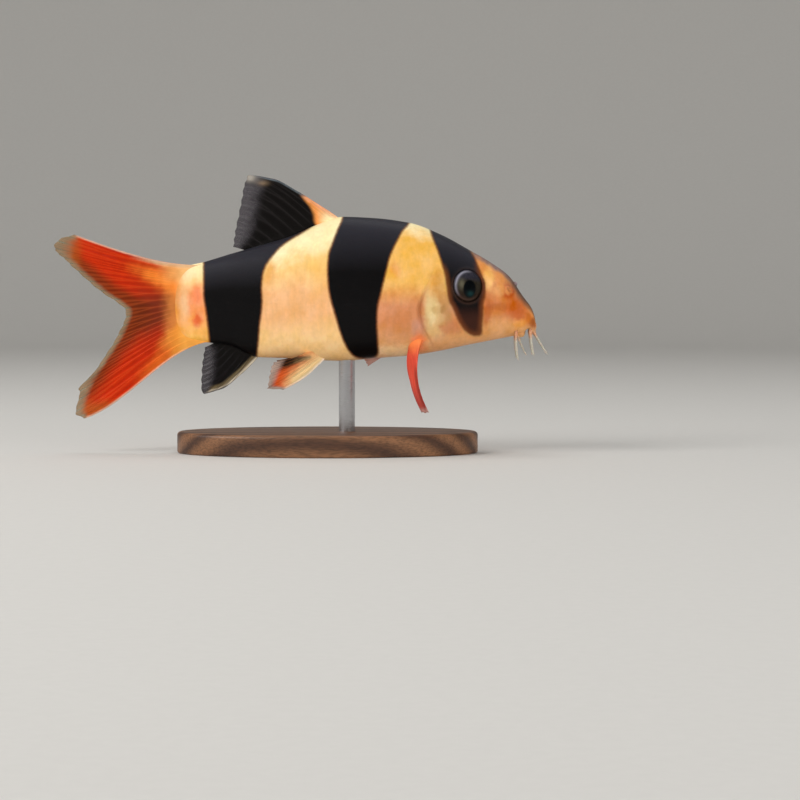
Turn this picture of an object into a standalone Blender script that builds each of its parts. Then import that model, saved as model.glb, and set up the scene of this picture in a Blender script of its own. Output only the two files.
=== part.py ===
"""A young clown loach, 90 mm long, as a still life-size model on a display stand.

Lengths are in millimetres here and are turned to metres as each mesh is made. The snout points to +X, the
fish's right side faces -Y, and +Z is up. The origin lies on the floor, under the middle of the whole model.
"""

import math

import bmesh
import bpy
import numpy as np
from mathutils import Matrix, Vector
from mathutils.bvhtree import BVHTree

MM = 0.001
GAP = 0.3

# The body, from the end of the tail stalk to the snout. Each row is one station along the fish: the top
# point (x, z), the bottom point (x, z), the half width, and the level of the widest point between the
# bottom, 0, and the top, 1.
STATIONS = {
    "tail_root": ((-24.2, 30.0), (-24.2, 24.6), 0.35, 0.50),
    "tail_fan": ((-23.3, 33.2), (-23.3, 22.1), 0.62, 0.50),
    "tail_bulge": ((-21.4, 34.6), (-21.4, 21.3), 1.10, 0.50),
    "stalk": ((-17.8, 35.5), (-17.8, 20.6), 1.95, 0.50),
    "behind_dorsal": ((-13.2, 36.9), (-13.2, 19.9), 3.00, 0.50),
    "vent": ((-8.0, 38.4), (-8.0, 17.8), 4.20, 0.49),
    "hips": ((-2.0, 40.2), (-2.0, 17.6), 5.25, 0.48),
    "belly": ((3.6, 42.6), (3.6, 17.2), 6.10, 0.47),
    "dorsal_front": ((7.9, 43.85), (7.9, 17.1), 6.60, 0.46),
    "shoulder": ((13.8, 43.6), (13.8, 17.6), 6.95, 0.46),
    "breast": ((20.4, 42.7), (20.4, 18.1), 7.05, 0.46),
    "nape": ((26.0, 40.6), (26.0, 19.0), 6.75, 0.47),
    "eye": ((31.2, 37.8), (31.2, 20.1), 5.90, 0.50),
    "cheek": ((35.3, 35.4), (35.3, 20.9), 5.00, 0.50),
    "nostril": ((38.7, 32.9), (38.4, 21.5), 4.05, 0.48),
    "muzzle": ((41.3, 29.2), (40.6, 21.9), 3.15, 0.46),
    "upper_lip": ((43.0, 26.8), (42.6, 22.1), 2.45, 0.46),
    "snout_front": ((43.85, 25.0), (43.7, 22.5), 1.65, 0.46),
    "snout_tip": ((44.05, 24.2), (44.0, 23.2), 0.75, 0.50),
}
BACK_POWER, BELLY_POWER = 1.95, 2.25
BODY_RINGS, FIN_CUTTER_RINGS, BARBEL_CUTTER_RINGS = (7, 18, 22), (8, 15, 15), (4, 6, 18)
BODY_SIDES = 36

# The rear edge of the gill cover, which is also where the head parts from the trunk.
GILL_REAR_X, GILL_Z = 22.3, 26.5
GILL_SWEEP, GILL_HALF_HEIGHT = 4.1, 6.9
GILL_STEP, GILL_LENGTH = 0.45, 6.0
STALK_CUT_X = -17.3

EYE_PLACE = (31.0, 31.15)
EYE_RADIUS, EYE_DEPTH, EYE_SUNK = 2.85, 2.0, 1.1
EYE_RIM_RADIUS, EYE_RIM_THICK, EYE_RIM_SUNK = 3.2, 0.55, 0.36
NOSTRIL_PLACE = (39.3, 31.1)
NOSTRIL_OUTER, NOSTRIL_INNER, NOSTRIL_HEIGHT = 0.55, 0.27, 0.4

MOUTH_X = 42.0
UPPER_LIP_REACH, UPPER_LIP_WIDTH, UPPER_LIP_THICK, UPPER_LIP_SUNK = 1.35, 1.8, 0.58, 0.2
UPPER_LIP_HALF_TURN = math.radians(105)
LOWER_LIP_BACK, LOWER_LIP_ASIDE, LOWER_LIP_LOBE = 1.1, 0.75, (1.0, 0.85, 0.5)
MOUTH_SLIT = (0.62, 1.5, 0.8)

# Fins: thickness of the membrane, of its root and of its margin, the height of the rays above it, how far
# their roots start inside the body, how far the membrane stops short of the ray tips, and the part of each
# gap between rays that slopes up to a ray.
MEMBRANE, FIN_ROOT, FIN_EDGE, RAY_HEIGHT = 0.5, 0.9, 0.3, 0.2
ROOT_DEPTH, MARGIN_NOTCH, RAY_SLOPE = 1.2, 0.18, 0.28

BARBEL_RADII = (0.36, 0.28, 0.26, 0.12)
BARBEL_SIDES, BARBEL_STEPS = 8, 8

BASE_X, BASE_LENGTH, BASE_WIDTH, BASE_HEIGHT, BASE_BEVEL = 5.0, 56.0, 29.0, 4.0, 0.7
ROD_X, ROD_RADIUS, ROD_SOCKET = 8.6, 1.5, 2.4

CUTTER_REACH = 80.0
SHARP_ANGLE, FIN_SHARP_ANGLE, TUBE_SHARP_ANGLE = 40.0, 25.0, 60.0

# Finish of each material: colour, roughness and metallic value.
FINISHES = {
    "golden_skin": ((0.83, 0.42, 0.15), 0.35, 0.0),
    "orange_snout": ((0.69, 0.26, 0.08), 0.35, 0.0),
    "cream_stalk": ((0.86, 0.47, 0.20), 0.35, 0.0),
    "red_fin": ((0.72, 0.06, 0.01), 0.40, 0.0),
    "dark_fin": ((0.012, 0.010, 0.010), 0.40, 0.0),
    "pale_barbel": ((0.50, 0.44, 0.36), 0.40, 0.0),
    "dark_eye": ((0.02, 0.02, 0.02), 0.08, 0.0),
    "oiled_walnut": ((0.16, 0.08, 0.04), 0.45, 0.0),
    "brushed_steel": ((0.55, 0.55, 0.56), 0.30, 1.0),
}


def clear_scene():
    for old in list(bpy.data.objects):
        bpy.data.objects.remove(old, do_unlink=True)


def finish(name):
    """The named material, made once."""
    made = bpy.data.materials.get(name)
    if made:
        return made
    colour, roughness, metallic = FINISHES[name]
    made = bpy.data.materials.new(name)
    made.use_nodes = True
    shader = made.node_tree.nodes["Principled BSDF"]
    shader.inputs["Base Color"].default_value = (*colour, 1.0)
    shader.inputs["Roughness"].default_value = roughness
    shader.inputs["Metallic"].default_value = metallic
    return made


def add_node(name, points, faces, finish_name=None, smooth_angle=SHARP_ANGLE):
    """A mesh object from points in millimetres, shaded smooth but for its sharp edges."""
    mesh = bpy.data.meshes.new(name)
    mesh.from_pydata([tuple(c * MM for c in p) for p in points], [], faces)
    shape = bmesh.new()
    shape.from_mesh(mesh)
    bmesh.ops.recalc_face_normals(shape, faces=shape.faces)
    shape.to_mesh(mesh)
    shape.free()
    mesh.shade_smooth()
    mesh.set_sharp_from_angle(angle=math.radians(smooth_angle))
    node = bpy.data.objects.new(name, mesh)
    bpy.context.scene.collection.objects.link(node)
    if finish_name:
        mesh.materials.append(finish(finish_name))
    return node


def smooth_values(at, values, where):
    """Cubic through the given values, with slopes that don't overshoot them."""
    at, values = np.asarray(at, float), np.asarray(values, float)
    values = values.reshape(len(at), -1)
    step = np.diff(at)[:, None]
    slope = np.diff(values, axis=0) / step
    bend = np.zeros_like(values)
    before, after = slope[:-1], slope[1:]
    same_way = before * after > 0
    total = np.where(same_way, before + after, 1.0)
    bend[1:-1] = np.where(same_way, 2 * before * after / total, 0.0)
    bend[0], bend[-1] = slope[0], slope[-1]
    where = np.clip(np.atleast_1d(np.asarray(where, float)), at[0], at[-1])
    k = np.clip(np.searchsorted(at, where, side="right") - 1, 0, len(at) - 2)
    h = step[k]
    t = (where - at[k])[:, None] / h
    return (
        values[k] * (1 + 2 * t) * (1 - t) ** 2
        + h * bend[k] * t * (1 - t) ** 2
        + values[k + 1] * t * t * (3 - 2 * t)
        + h * bend[k + 1] * t * t * (t - 1)
    )


def station_table():
    """Distance along the middle of the body at each station, and the values that vary along it."""
    rows = [(*top, *bottom, width, level) for top, bottom, width, level in STATIONS.values()]
    values = np.array(rows)
    middle = (values[:, 0:2] + values[:, 2:4]) / 2
    along = np.concatenate([[0], np.cumsum(np.linalg.norm(np.diff(middle, axis=0), axis=1))])
    return along, values


def ring_places(tail, trunk, head):
    """Where the rings of the body stand, closer together over the head and at both ends."""
    along, _ = station_table()
    names = list(STATIONS)
    stalk, breast = along[names.index("stalk")], along[names.index("breast")]
    ease_in = stalk * np.linspace(0, 1, tail) ** 1.5
    ease_out = 1 - (1 - np.linspace(0, 1, head)) ** 1.35
    trunk_places = np.linspace(stalk, breast, trunk + 1)[1:]
    head_places = breast + (along[-1] - breast) * ease_out[1:]
    return np.concatenate([ease_in, trunk_places, head_places])


def gill_edge(z):
    """X of the gill cover's rear edge at a height."""
    return GILL_REAR_X + GILL_SWEEP * (1 - math.exp(-(((z - GILL_Z) / GILL_HALF_HEIGHT) ** 2)))


def gill_relief(x, z):
    """How far the gill cover stands out from the flesh in front of its rear edge."""
    height = math.exp(-(((z - GILL_Z) / GILL_HALF_HEIGHT) ** 2))
    forward = max(0.0, x - gill_edge(z)) / GILL_LENGTH
    return GILL_STEP * height * max(0.0, 1 - forward) ** 1.5


def body_points(places, sides, with_gill_cover):
    """Rings of points round the body, each a pointed oval between its top and its bottom point."""
    along, values = station_table()
    rings = []
    for top_x, top_z, low_x, low_z, width, level in smooth_values(along, values, places):
        ring = []
        for k in range(sides):
            turn = 2 * math.pi * k / sides
            up, out = math.cos(turn), math.sin(turn)
            power = BACK_POWER if up >= 0 else BELLY_POWER
            rise = math.copysign(abs(up) ** (2 / power), up)
            share = level + rise * (1 - level if up >= 0 else level)
            aside = -width * math.copysign(abs(out) ** (2 / power), out)
            x = low_x + (top_x - low_x) * share
            z = low_z + (top_z - low_z) * share
            if with_gill_cover:
                aside += gill_relief(x, z) * out * -1
            ring.append(Vector((x, aside, z)))
        rings.append(ring)
    return rings


def grid_faces(rows, columns, closed):
    """Quads between rows of points, with the last column joined to the first where closed."""
    faces = []
    for i in range(rows - 1):
        for j in range(columns if closed else columns - 1):
            k = (j + 1) % columns
            faces.append((i * columns + j, i * columns + k, (i + 1) * columns + k, (i + 1) * columns + j))
    return faces


def loft(name, rings, finish_name=None, smooth_angle=SHARP_ANGLE):
    """A closed skin over rings of points, ended by a fan at each end."""
    sides = len(rings[0])
    points = [p for ring in rings for p in ring]
    faces = grid_faces(len(rings), sides, True)
    for ring_start in (0, (len(rings) - 1) * sides):
        middle = len(points)
        ring = points[ring_start : ring_start + sides]
        points.append(sum(ring, Vector()) / sides)
        for k in range(sides):
            faces.append((ring_start + k, ring_start + (k + 1) % sides, middle))
    return add_node(name, points, faces, finish_name, smooth_angle)


def body(name, with_gill_cover, grow=0.0, finish_name=None, rings=BODY_RINGS):
    """The whole body as one skin, pushed out along its normals where it has to grow."""
    shape = loft(name, body_points(ring_places(*rings), BODY_SIDES, with_gill_cover), finish_name)
    if grow:
        for point, normal in [(v, v.normal.copy()) for v in shape.data.vertices]:
            point.co += normal * grow * MM
    return shape


def prism(name, outline):
    """A block with an outline in the XZ plane, running right across the fish."""
    count = len(outline)
    points = [Vector((x, y, z)) for y in (-CUTTER_REACH, CUTTER_REACH) for x, z in outline]
    faces = [tuple(range(count)), tuple(range(2 * count - 1, count - 1, -1))]
    for k in range(count):
        n = (k + 1) % count
        faces.append((k, k + count, n + count, n))
    return add_node(name, points, faces)


def weld(node, distance=0.002):
    """Merges points closer than a few thousandths of a millimetre and drops the slivers they leave."""
    shape = bmesh.new()
    shape.from_mesh(node.data)
    bmesh.ops.remove_doubles(shape, verts=shape.verts, dist=distance * MM)
    bmesh.ops.dissolve_degenerate(shape, edges=shape.edges, dist=distance * MM)
    bmesh.ops.triangulate(shape, faces=[f for f in shape.faces if len(f.verts) > 4])
    seen = {}
    for face in shape.faces:
        seen.setdefault(frozenset(face.verts), []).append(face)
    folded = [face for pair in seen.values() if len(pair) > 1 for face in pair]
    bmesh.ops.delete(shape, geom=folded, context="FACES")
    bmesh.ops.delete(shape, geom=[e for e in shape.edges if not e.link_faces], context="EDGES")
    shape.to_mesh(node.data)
    shape.free()


def boolean(target, operation, *others):
    """Applies a Boolean with each other object in turn, and removes them."""
    for other in others:
        step = target.modifiers.new("step", "BOOLEAN")
        step.operation, step.solver, step.object = operation, "EXACT", other
        bpy.context.view_layer.update()
        graph = bpy.context.evaluated_depsgraph_get()
        target.data = bpy.data.meshes.new_from_object(target.evaluated_get(graph))
        target.modifiers.clear()
        bpy.data.objects.remove(other, do_unlink=True)
        weld(target)
    return target


def largest_only(node):
    """Keeps a node's largest closed surface and drops any loose scrap."""
    shape = bmesh.new()
    shape.from_mesh(node.data)
    shape.verts.ensure_lookup_table()
    unseen = set(shape.verts)
    parts = []
    while unseen:
        front = [unseen.pop()]
        part = set(front)
        while front:
            point = front.pop()
            near = {edge.other_vert(point) for edge in point.link_edges} & unseen
            unseen -= near
            part |= near
            front += near
        parts.append(part)
    keep = max(parts, key=len)
    bmesh.ops.delete(shape, geom=[v for v in shape.verts if v not in keep], context="VERTS")
    shape.to_mesh(node.data)
    shape.free()
    return node


def smooth_shading(node, angle=SHARP_ANGLE):
    node.data.shade_smooth()
    node.data.set_sharp_from_angle(angle=math.radians(angle))
    return node


def surface_tree(node):
    """A search tree over a node's faces, in millimetres."""
    points = [v.co / MM for v in node.data.vertices]
    return BVHTree.FromPolygons(points, [tuple(f.vertices) for f in node.data.polygons])


def on_side(tree, x, z, side):
    """The body's surface point and outward normal at a place, side -1 for the right and +1 for the left."""
    hit, normal, _, _ = tree.ray_cast(Vector((x, side * CUTTER_REACH, z)), Vector((0, -side, 0)))
    if normal.y * side < 0:
        normal = -normal
    return hit, normal


def turned_to(direction, place):
    """A matrix that takes local Z to a direction and the origin to a place."""
    return Matrix.Translation(place) @ direction.to_track_quat("Z", "X").to_matrix().to_4x4()


def ball(name, matrix, radii, around=20, up=12, finish_name=None):
    """An oval ball with the given radii along the matrix's axes."""
    rings = []
    for i in range(1, up):
        lift = math.pi * i / up
        radius, height = math.sin(lift), -math.cos(lift)
        turns = [2 * math.pi * k / around for k in range(around)]
        circle = [(radius * math.cos(t), radius * math.sin(t), height) for t in turns]
        rings.append([matrix @ Vector([c * r for c, r in zip(p, radii)]) for p in circle])
    points = [p for ring in rings for p in ring]
    faces = grid_faces(len(rings), around, True)
    for start, end in ((0, -1.0), ((len(rings) - 1) * around, 1.0)):
        middle = len(points)
        points.append(matrix @ Vector((0, 0, end * radii[2])))
        faces += [(start + k, start + (k + 1) % around, middle) for k in range(around)]
    return add_node(name, points, faces, finish_name)


def ring_on(name, tree, place, axis, radius, thick, sunk, around=26, sides=9):
    """A closed ring of round section laid on a surface about an axis, and sunk a little into it."""
    frame = turned_to(axis, place)
    points = []
    for i in range(around):
        turn = 2 * math.pi * i / around
        above = frame @ Vector((radius * math.cos(turn), radius * math.sin(turn), CUTTER_REACH))
        hit, normal, _, _ = tree.ray_cast(above, -axis)
        outward = (hit - place) - normal * (hit - place).dot(normal)
        outward.normalize()
        centre = hit - normal * sunk
        for k in range(sides):
            roll = 2 * math.pi * k / sides
            points.append(centre + thick * (outward * math.cos(roll) + normal * math.sin(roll)))
    faces = grid_faces(around, sides, True)
    last = (around - 1) * sides
    faces += [(last + k, last + (k + 1) % sides, (k + 1) % sides, k) for k in range(sides)]
    return add_node(name, points, faces)


def tube(name, path, radii, sides, finish_name=None):
    """A round tube along a path, its radius given at each point."""
    rings = []
    for i, (place, radius) in enumerate(zip(path, radii)):
        ahead = (path[min(i + 1, len(path) - 1)] - path[max(i - 1, 0)]).normalized()
        across = ahead.cross(Vector((0, 1, 0.01))).normalized()
        over = ahead.cross(across)
        turns = [2 * math.pi * k / sides for k in range(sides)]
        rings.append([place + radius * (across * math.cos(t) + over * math.sin(t)) for t in turns])
    return loft(name, rings, finish_name, TUBE_SHARP_ANGLE)


def fin_columns(rays, first, last):
    """(share, is a ray) for each column of a fin: its rays, and the membrane's two edges in each gap.
    Where the fin is parted between two rays, it ends with a column half way to the next ray."""
    columns = []
    if first > 0:
        columns.append(((first - 0.5) / (rays - 1), False))
        columns.append(((first - RAY_SLOPE) / (rays - 1), False))
    for i in range(first, last + 1):
        columns.append((i / (rays - 1), True))
        if i < rays - 1:
            columns.append(((i + RAY_SLOPE) / (rays - 1), False))
        if i < last:
            columns.append(((i + 1 - RAY_SLOPE) / (rays - 1), False))
    if last < rays - 1:
        columns.append(((last + 0.5) / (rays - 1), False))
    return columns


def fin_surface(guides, columns, steps, bow_axis, cup):
    """Middle surface of a fin. Each guide is one ray: (share across the fin, root, tip, bow near the root,
    bow near the tip). The bows move the ray along bow_axis, and cup hollows the whole fin."""
    shares = [g[0] for g in guides]
    values = [(*g[1], *g[2], g[3], g[4]) for g in guides]
    axis, hollow = Vector(bow_axis), Vector(cup)
    inward = sum(((Vector(g[1]) - Vector(g[2])).normalized() for g in guides), Vector()).normalized()
    grid = []
    for share, is_ray in columns:
        v = smooth_values(shares, values, share)[0]
        root, tip = Vector(v[0:3]), Vector(v[3:6])
        chord = tip - root
        reach = 1.0 if is_ray else 1 - MARGIN_NOTCH / chord.length
        near, far = root + chord / 3 + axis * v[6], root + chord * 2 / 3 + axis * v[7]
        line = [root + inward * ROOT_DEPTH, root + inward * ROOT_DEPTH * 0.4]
        for k in range(steps + 1):
            u = reach * k / steps
            bent = root * (1 - u) ** 3 + near * 3 * u * (1 - u) ** 2 + far * 3 * u * u * (1 - u) + tip * u**3
            line.append(bent + hollow * 4 * u * (1 - u))
        grid.append(line)
    return grid


def fin(name, guides, rays, steps, finish_name, bow_axis=(0, 0, 1), cup=(0, 0, 0), span=None):
    """A fin as one thin closed solid, its rays raised as ridges on both faces of the membrane."""
    first, last = span or (0, rays - 1)
    columns = fin_columns(rays, first, last)
    grid = fin_surface(guides, columns, steps, bow_axis, cup)
    if first > 0:
        grid[0] = [p - Vector((0, 0, GAP / 2)) for p in grid[0]]
    if last < rays - 1:
        grid[-1] = [p + Vector((0, 0, GAP / 2)) for p in grid[-1]]
    rows, count = len(grid[0]), len(grid)
    normal = Vector()
    for j in range(count - 1):
        for i in range(rows - 1):
            normal += (grid[j][i + 1] - grid[j][i]).cross(grid[j + 1][i] - grid[j][i])
    normal.normalize()
    near_face, far_face = [], []
    for j, (_, is_ray) in enumerate(columns):
        for i in range(rows):
            u = max(0.0, (i - 2) / steps)
            thick = MEMBRANE + (FIN_ROOT - MEMBRANE) * max(0.0, 1 - u * 4)
            if is_ray:
                thick += 2 * RAY_HEIGHT * (1 - u)
            if i == rows - 1:
                thick = FIN_EDGE
            near_face.append(grid[j][i] + normal * thick / 2)
            far_face.append(grid[j][i] - normal * thick / 2)
    points = near_face + far_face
    other = len(near_face)
    faces = []
    for j in range(count - 1):
        for i in range(rows - 1):
            a, b, c, d = j * rows + i, j * rows + i + 1, (j + 1) * rows + i + 1, (j + 1) * rows + i
            faces += [(a, b, c), (a, c, d)]
            faces += [(a + other, c + other, b + other), (a + other, d + other, c + other)]
    for i in range(rows - 1):
        a, b = i, i + 1
        faces += [(a, a + other, b + other), (a, b + other, b)]
        a, b = (count - 1) * rows + i, (count - 1) * rows + i + 1
        faces += [(a, b + other, a + other), (a, b, b + other)]
    for j in range(count - 1):
        a, b = j * rows, (j + 1) * rows
        faces += [(a, b + other, a + other), (a, b, b + other)]
        a, b = j * rows + rows - 1, (j + 1) * rows + rows - 1
        faces += [(a, a + other, b + other), (a, b + other, b)]
    return add_node(name, points, faces, finish_name, FIN_SHARP_ANGLE)


def flat(x, z, y=0.0):
    """A point given as it shows from the side."""
    return (x, y, z)


# Guide rays of each fin, from its leading edge to its rear edge.
DORSAL_GUIDES = [
    (0.0, flat(7.7, 43.2), flat(4.4, 45.5), 0.1, 0.1),
    (0.1, flat(7.0, 43.0), flat(-0.6, 48.65), 0.15, 0.15),
    (0.2, flat(6.0, 42.8), flat(-5.2, 51.0, 0.2), 0.6, 0.6),
    (0.3, flat(4.7, 42.4), flat(-9.6, 51.65, 0.4), 1.4, 1.4),
    (0.4, flat(3.3, 41.9), flat(-10.3, 50.4, 0.5), 1.2, 1.2),
    (0.6, flat(-0.6, 40.1), flat(-11.1, 46.6, 0.5), 0.8, 0.8),
    (0.8, flat(-5.6, 38.5), flat(-12.1, 41.8, 0.3), 0.3, 0.3),
    (1.0, flat(-9.4, 37.3), flat(-12.6, 38.3, 0.2), 0.1, 0.1),
]
ANAL_GUIDES = [
    (0.00, flat(-8.3, 18.4), flat(-10.9, 14.6), -0.1, -0.1),
    (0.14, flat(-8.9, 18.6), flat(-14.6, 11.85, -0.1), -0.55, -0.55),
    (0.29, flat(-9.8, 18.9), flat(-18.2, 10.9, -0.2), -1.3, -1.3),
    (0.43, flat(-10.9, 19.3), flat(-18.6, 12.7, -0.3), -0.8, -0.8),
    (0.70, flat(-13.2, 20.1), flat(-18.4, 16.3, -0.2), -0.4, -0.4),
    (1.00, flat(-15.3, 20.9), flat(-17.9, 19.6, -0.1), -0.1, -0.1),
]
CAUDAL_GUIDES = [
    (0.00, flat(-19.3, 34.9), flat(-42.1, 40.6, 0.5), -1.75, -0.85),
    (0.05, flat(-21.2, 34.0), flat(-44.6, 39.9, 0.6), -1.3, -0.5),
    (0.10, flat(-22.5, 33.1), flat(-45.95, 38.4, 0.7), -0.9, -0.2),
    (0.25, flat(-23.0, 31.9), flat(-43.2, 35.3, 0.7), -0.3, 0.2),
    (0.38, flat(-23.3, 30.2), flat(-37.8, 30.3, 0.6), 0.1, 0.3),
    (0.50, flat(-23.5, 27.6), flat(-32.6, 26.0, 0.5), 0.1, 0.1),
    (0.62, flat(-23.4, 25.6), flat(-34.4, 21.5, 0.6), 0.3, 0.1),
    (0.75, flat(-23.0, 23.9), flat(-38.0, 15.8, 0.7), 0.7, 0.2),
    (0.88, flat(-22.2, 22.6), flat(-41.6, 10.0, 0.7), 1.6, 0.1),
    (0.94, flat(-20.8, 21.8), flat(-42.2, 7.6, 0.6), 2.4, -0.6),
    (1.00, flat(-18.4, 21.3), flat(-40.2, 6.6, 0.5), 3.4, -2.0),
]
PELVIC_GUIDES = [
    (0.0, (4.3, -1.4, 18.0), (-3.1, -4.6, 12.0), -0.5, -0.5),
    (0.3, (3.5, -2.1, 18.2), (-6.0, -5.7, 12.2), -0.3, -0.4),
    (0.6, (2.6, -2.7, 18.4), (-5.6, -6.0, 14.6), -0.1, -0.1),
    (1.0, (1.4, -3.3, 18.7), (-4.8, -5.6, 17.0), 0.0, 0.0),
]
BRACED_PECTORAL_GUIDES = [
    (0.00, (21.9, -5.3, 21.9), (23.8, -9.3, 7.6), -1.9, -2.1),
    (0.33, (21.7, -4.7, 21.0), (23.3, -7.2, 7.4), -1.9, -2.1),
    (0.66, (21.3, -4.0, 20.2), (22.3, -4.6, 9.6), -1.6, -1.7),
    (1.00, (20.8, -3.2, 19.6), (20.8, -2.9, 14.2), -0.9, -0.9),
]
FOLDED_PECTORAL_GUIDES = [
    (0.00, (21.8, 4.6, 20.6), (12.4, 11.6, 15.4), -0.5, -0.4),
    (0.33, (21.4, 4.9, 21.5), (11.6, 12.4, 17.2), -0.3, -0.2),
    (0.66, (21.0, 5.2, 22.4), (13.0, 12.2, 19.6), 0.0, 0.0),
    (1.00, (20.6, 5.4, 23.3), (15.6, 10.4, 22.0), 0.2, 0.2),
]
CAUDAL_RAYS = 21
UPPER_LOBE, LOWER_LOBE = (0, CAUDAL_RAYS // 2), (CAUDAL_RAYS // 2 + 1, CAUDAL_RAYS - 1)


def mirrored(guides):
    """The same fin on the left side."""
    return [(s, (r[0], -r[1], r[2]), (t[0], -t[1], t[2]), near, far) for s, r, t, near, far in guides]


# Each fin's guides, number of rays, steps along a ray and finish, then what is special to it.
FINS = {
    "dorsal_fin": (DORSAL_GUIDES, 11, 7, "dark_fin", {}),
    "anal_fin": (ANAL_GUIDES, 8, 6, "dark_fin", {}),
    "caudal_fin_upper": (CAUDAL_GUIDES, CAUDAL_RAYS, 9, "red_fin", {"span": UPPER_LOBE}),
    "caudal_fin_lower": (CAUDAL_GUIDES, CAUDAL_RAYS, 9, "red_fin", {"span": LOWER_LOBE}),
    "pelvic_fin_right": (PELVIC_GUIDES, 7, 6, "red_fin", {"cup": (0, -0.3, -0.2)}),
    "pelvic_fin_left": (mirrored(PELVIC_GUIDES), 7, 6, "red_fin", {"cup": (0, 0.3, -0.2)}),
    "pectoral_fin_right": (BRACED_PECTORAL_GUIDES, 9, 8, "red_fin", {"bow_axis": (1, 0, 0)}),
    "pectoral_fin_left": (FOLDED_PECTORAL_GUIDES, 9, 7, "red_fin", {"cup": (0, 0.8, 0)}),
}

# Barbels of the right side: root, bend and tip. The left ones mirror them.
BARBELS = {
    "barbel_snout_front": ((43.3, -1.45, 22.5), (44.6, -1.75, 20.3), (45.9, -2.0, 18.3)),
    "barbel_snout_rear": ((42.7, -2.05, 22.4), (42.8, -2.75, 20.2), (43.3, -3.0, 18.1)),
    "barbel_mouth_corner": ((40.0, -2.35, 22.2), (39.9, -3.1, 19.6), (40.4, -3.4, 17.3)),
    "barbel_lower_lip": ((40.3, -1.05, 22.1), (41.0, -1.15, 20.0), (42.0, -1.3, 18.2)),
}


def front_block(name, shift=0.0):
    """Everything in front of the gill cover's rear edge, as a block."""
    steps, reach = 50, 4.5 * GILL_HALF_HEIGHT
    heights = [GILL_Z + reach * (2 * k / steps - 1) for k in range(steps + 1)]
    edge = [(gill_edge(z) + shift, z) for z in heights]
    return prism(name, edge + [(CUTTER_REACH, heights[-1]), (CUTTER_REACH, heights[0])])


def stalk_block(name, shift=0.0):
    """Everything behind the trunk's rear end, as a block."""
    x, far = STALK_CUT_X + shift, CUTTER_REACH
    return prism(name, [(-far, -far), (x, -far), (x, far), (-far, far)])


def eye_axes(tree, side):
    """Centre and outward direction of an eye."""
    hit, normal = on_side(tree, *EYE_PLACE, side)
    return hit - normal * EYE_SUNK, normal


def eye_matrix(tree, side):
    place, outward = eye_axes(tree, side)
    return turned_to(outward, place)


def under_chin(tree, x, y):
    """The head's underside at a place: the point and the normal, which points down."""
    hit, normal, _, _ = tree.ray_cast(Vector((x, y, 0.0)), Vector((0, 0, 1)))
    return hit, normal if normal.z < 0 else -normal


def lips(tree, grow=0.0):
    """The upper lip as a horseshoe round the front of the mouth, and the two lobes of the lower lip."""
    steps, sides = 16, 9
    rings = []
    for i in range(steps + 1):
        turn = UPPER_LIP_HALF_TURN * (2 * i / steps - 1)
        x = MOUTH_X + UPPER_LIP_REACH * math.cos(turn)
        y = UPPER_LIP_WIDTH * math.sin(turn)
        hit, normal = under_chin(tree, x, y)
        outward = Vector((math.cos(turn), math.sin(turn), 0))
        outward = (outward - normal * outward.dot(normal)).normalized()
        thick = UPPER_LIP_THICK * (0.55 + 0.45 * math.cos(turn * 0.85)) + grow
        centre = hit - normal * UPPER_LIP_SUNK
        turns = [2 * math.pi * k / sides for k in range(sides)]
        rings.append([centre + thick * (outward * math.cos(t) + normal * math.sin(t)) for t in turns])
    made = [loft("upper_lip", rings)]
    for side in (-1, 1):
        hit, normal = under_chin(tree, MOUTH_X - LOWER_LIP_BACK, side * LOWER_LIP_ASIDE)
        frame = Matrix.Translation(hit) @ Vector((0, 0, -1)).rotation_difference(normal).to_matrix().to_4x4()
        made.append(ball("lower_lip", frame, [r + grow for r in LOWER_LIP_LOBE], 16, 9))
    return made


def nostril(name, tree, side):
    """A short tube with a raised front edge, and the pit that opens in it."""
    hit, normal = on_side(tree, *NOSTRIL_PLACE, side)
    lean = (normal + Vector((0.3, 0, 0.35))).normalized()
    post = turned_to(lean, hit)
    wall = ball(name, post, (NOSTRIL_OUTER, NOSTRIL_OUTER, NOSTRIL_HEIGHT), 14, 8)
    mouth_of_tube = turned_to(lean, hit + lean * NOSTRIL_HEIGHT)
    pit = ball(name + "_pit", mouth_of_tube, (NOSTRIL_INNER, NOSTRIL_INNER, NOSTRIL_HEIGHT), 10, 6)
    return wall, pit


def make_head(tree):
    """Head with its gill covers, eye rims, lips, mouth and nostrils, cut free of the trunk and the eyes."""
    head = body("head", True, finish_name="orange_snout")
    boolean(head, "INTERSECT", front_block("front"))
    raised, hollows = [], []
    for side, mark in ((-1, "right"), (1, "left")):
        place, outward = eye_axes(tree, side)
        ring = (EYE_RIM_RADIUS, EYE_RIM_THICK, EYE_RIM_SUNK)
        raised.append(ring_on("rim_" + mark, tree, place, outward, *ring))
        hole = (EYE_RADIUS + GAP, EYE_RADIUS + GAP, EYE_DEPTH + GAP)
        hollows.append(ball("socket_" + mark, eye_matrix(tree, side), hole))
        wall, pit = nostril("nostril_" + mark, tree, side)
        raised.append(wall)
        hollows.append(pit)
    raised += lips(tree)
    chin, _ = under_chin(tree, MOUTH_X, 0.0)
    hollows.append(ball("mouth", Matrix.Translation(chin), MOUTH_SLIT, 17, 9))
    boolean(head, "UNION", *raised)
    boolean(head, "DIFFERENCE", *hollows)
    return smooth_shading(largest_only(head))


def make_trunk():
    trunk = body("trunk", False, finish_name="golden_skin")
    boolean(trunk, "DIFFERENCE", front_block("front", -GAP), stalk_block("rear", GAP))
    socket = rod("socket", ROD_RADIUS + GAP, BASE_HEIGHT, rod_top() + GAP)
    boolean(trunk, "DIFFERENCE", socket)
    return smooth_shading(largest_only(trunk))


def make_stalk():
    stalk = body("tail_stalk", False, finish_name="cream_stalk")
    boolean(stalk, "INTERSECT", stalk_block("rear"))
    return smooth_shading(largest_only(stalk))


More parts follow.
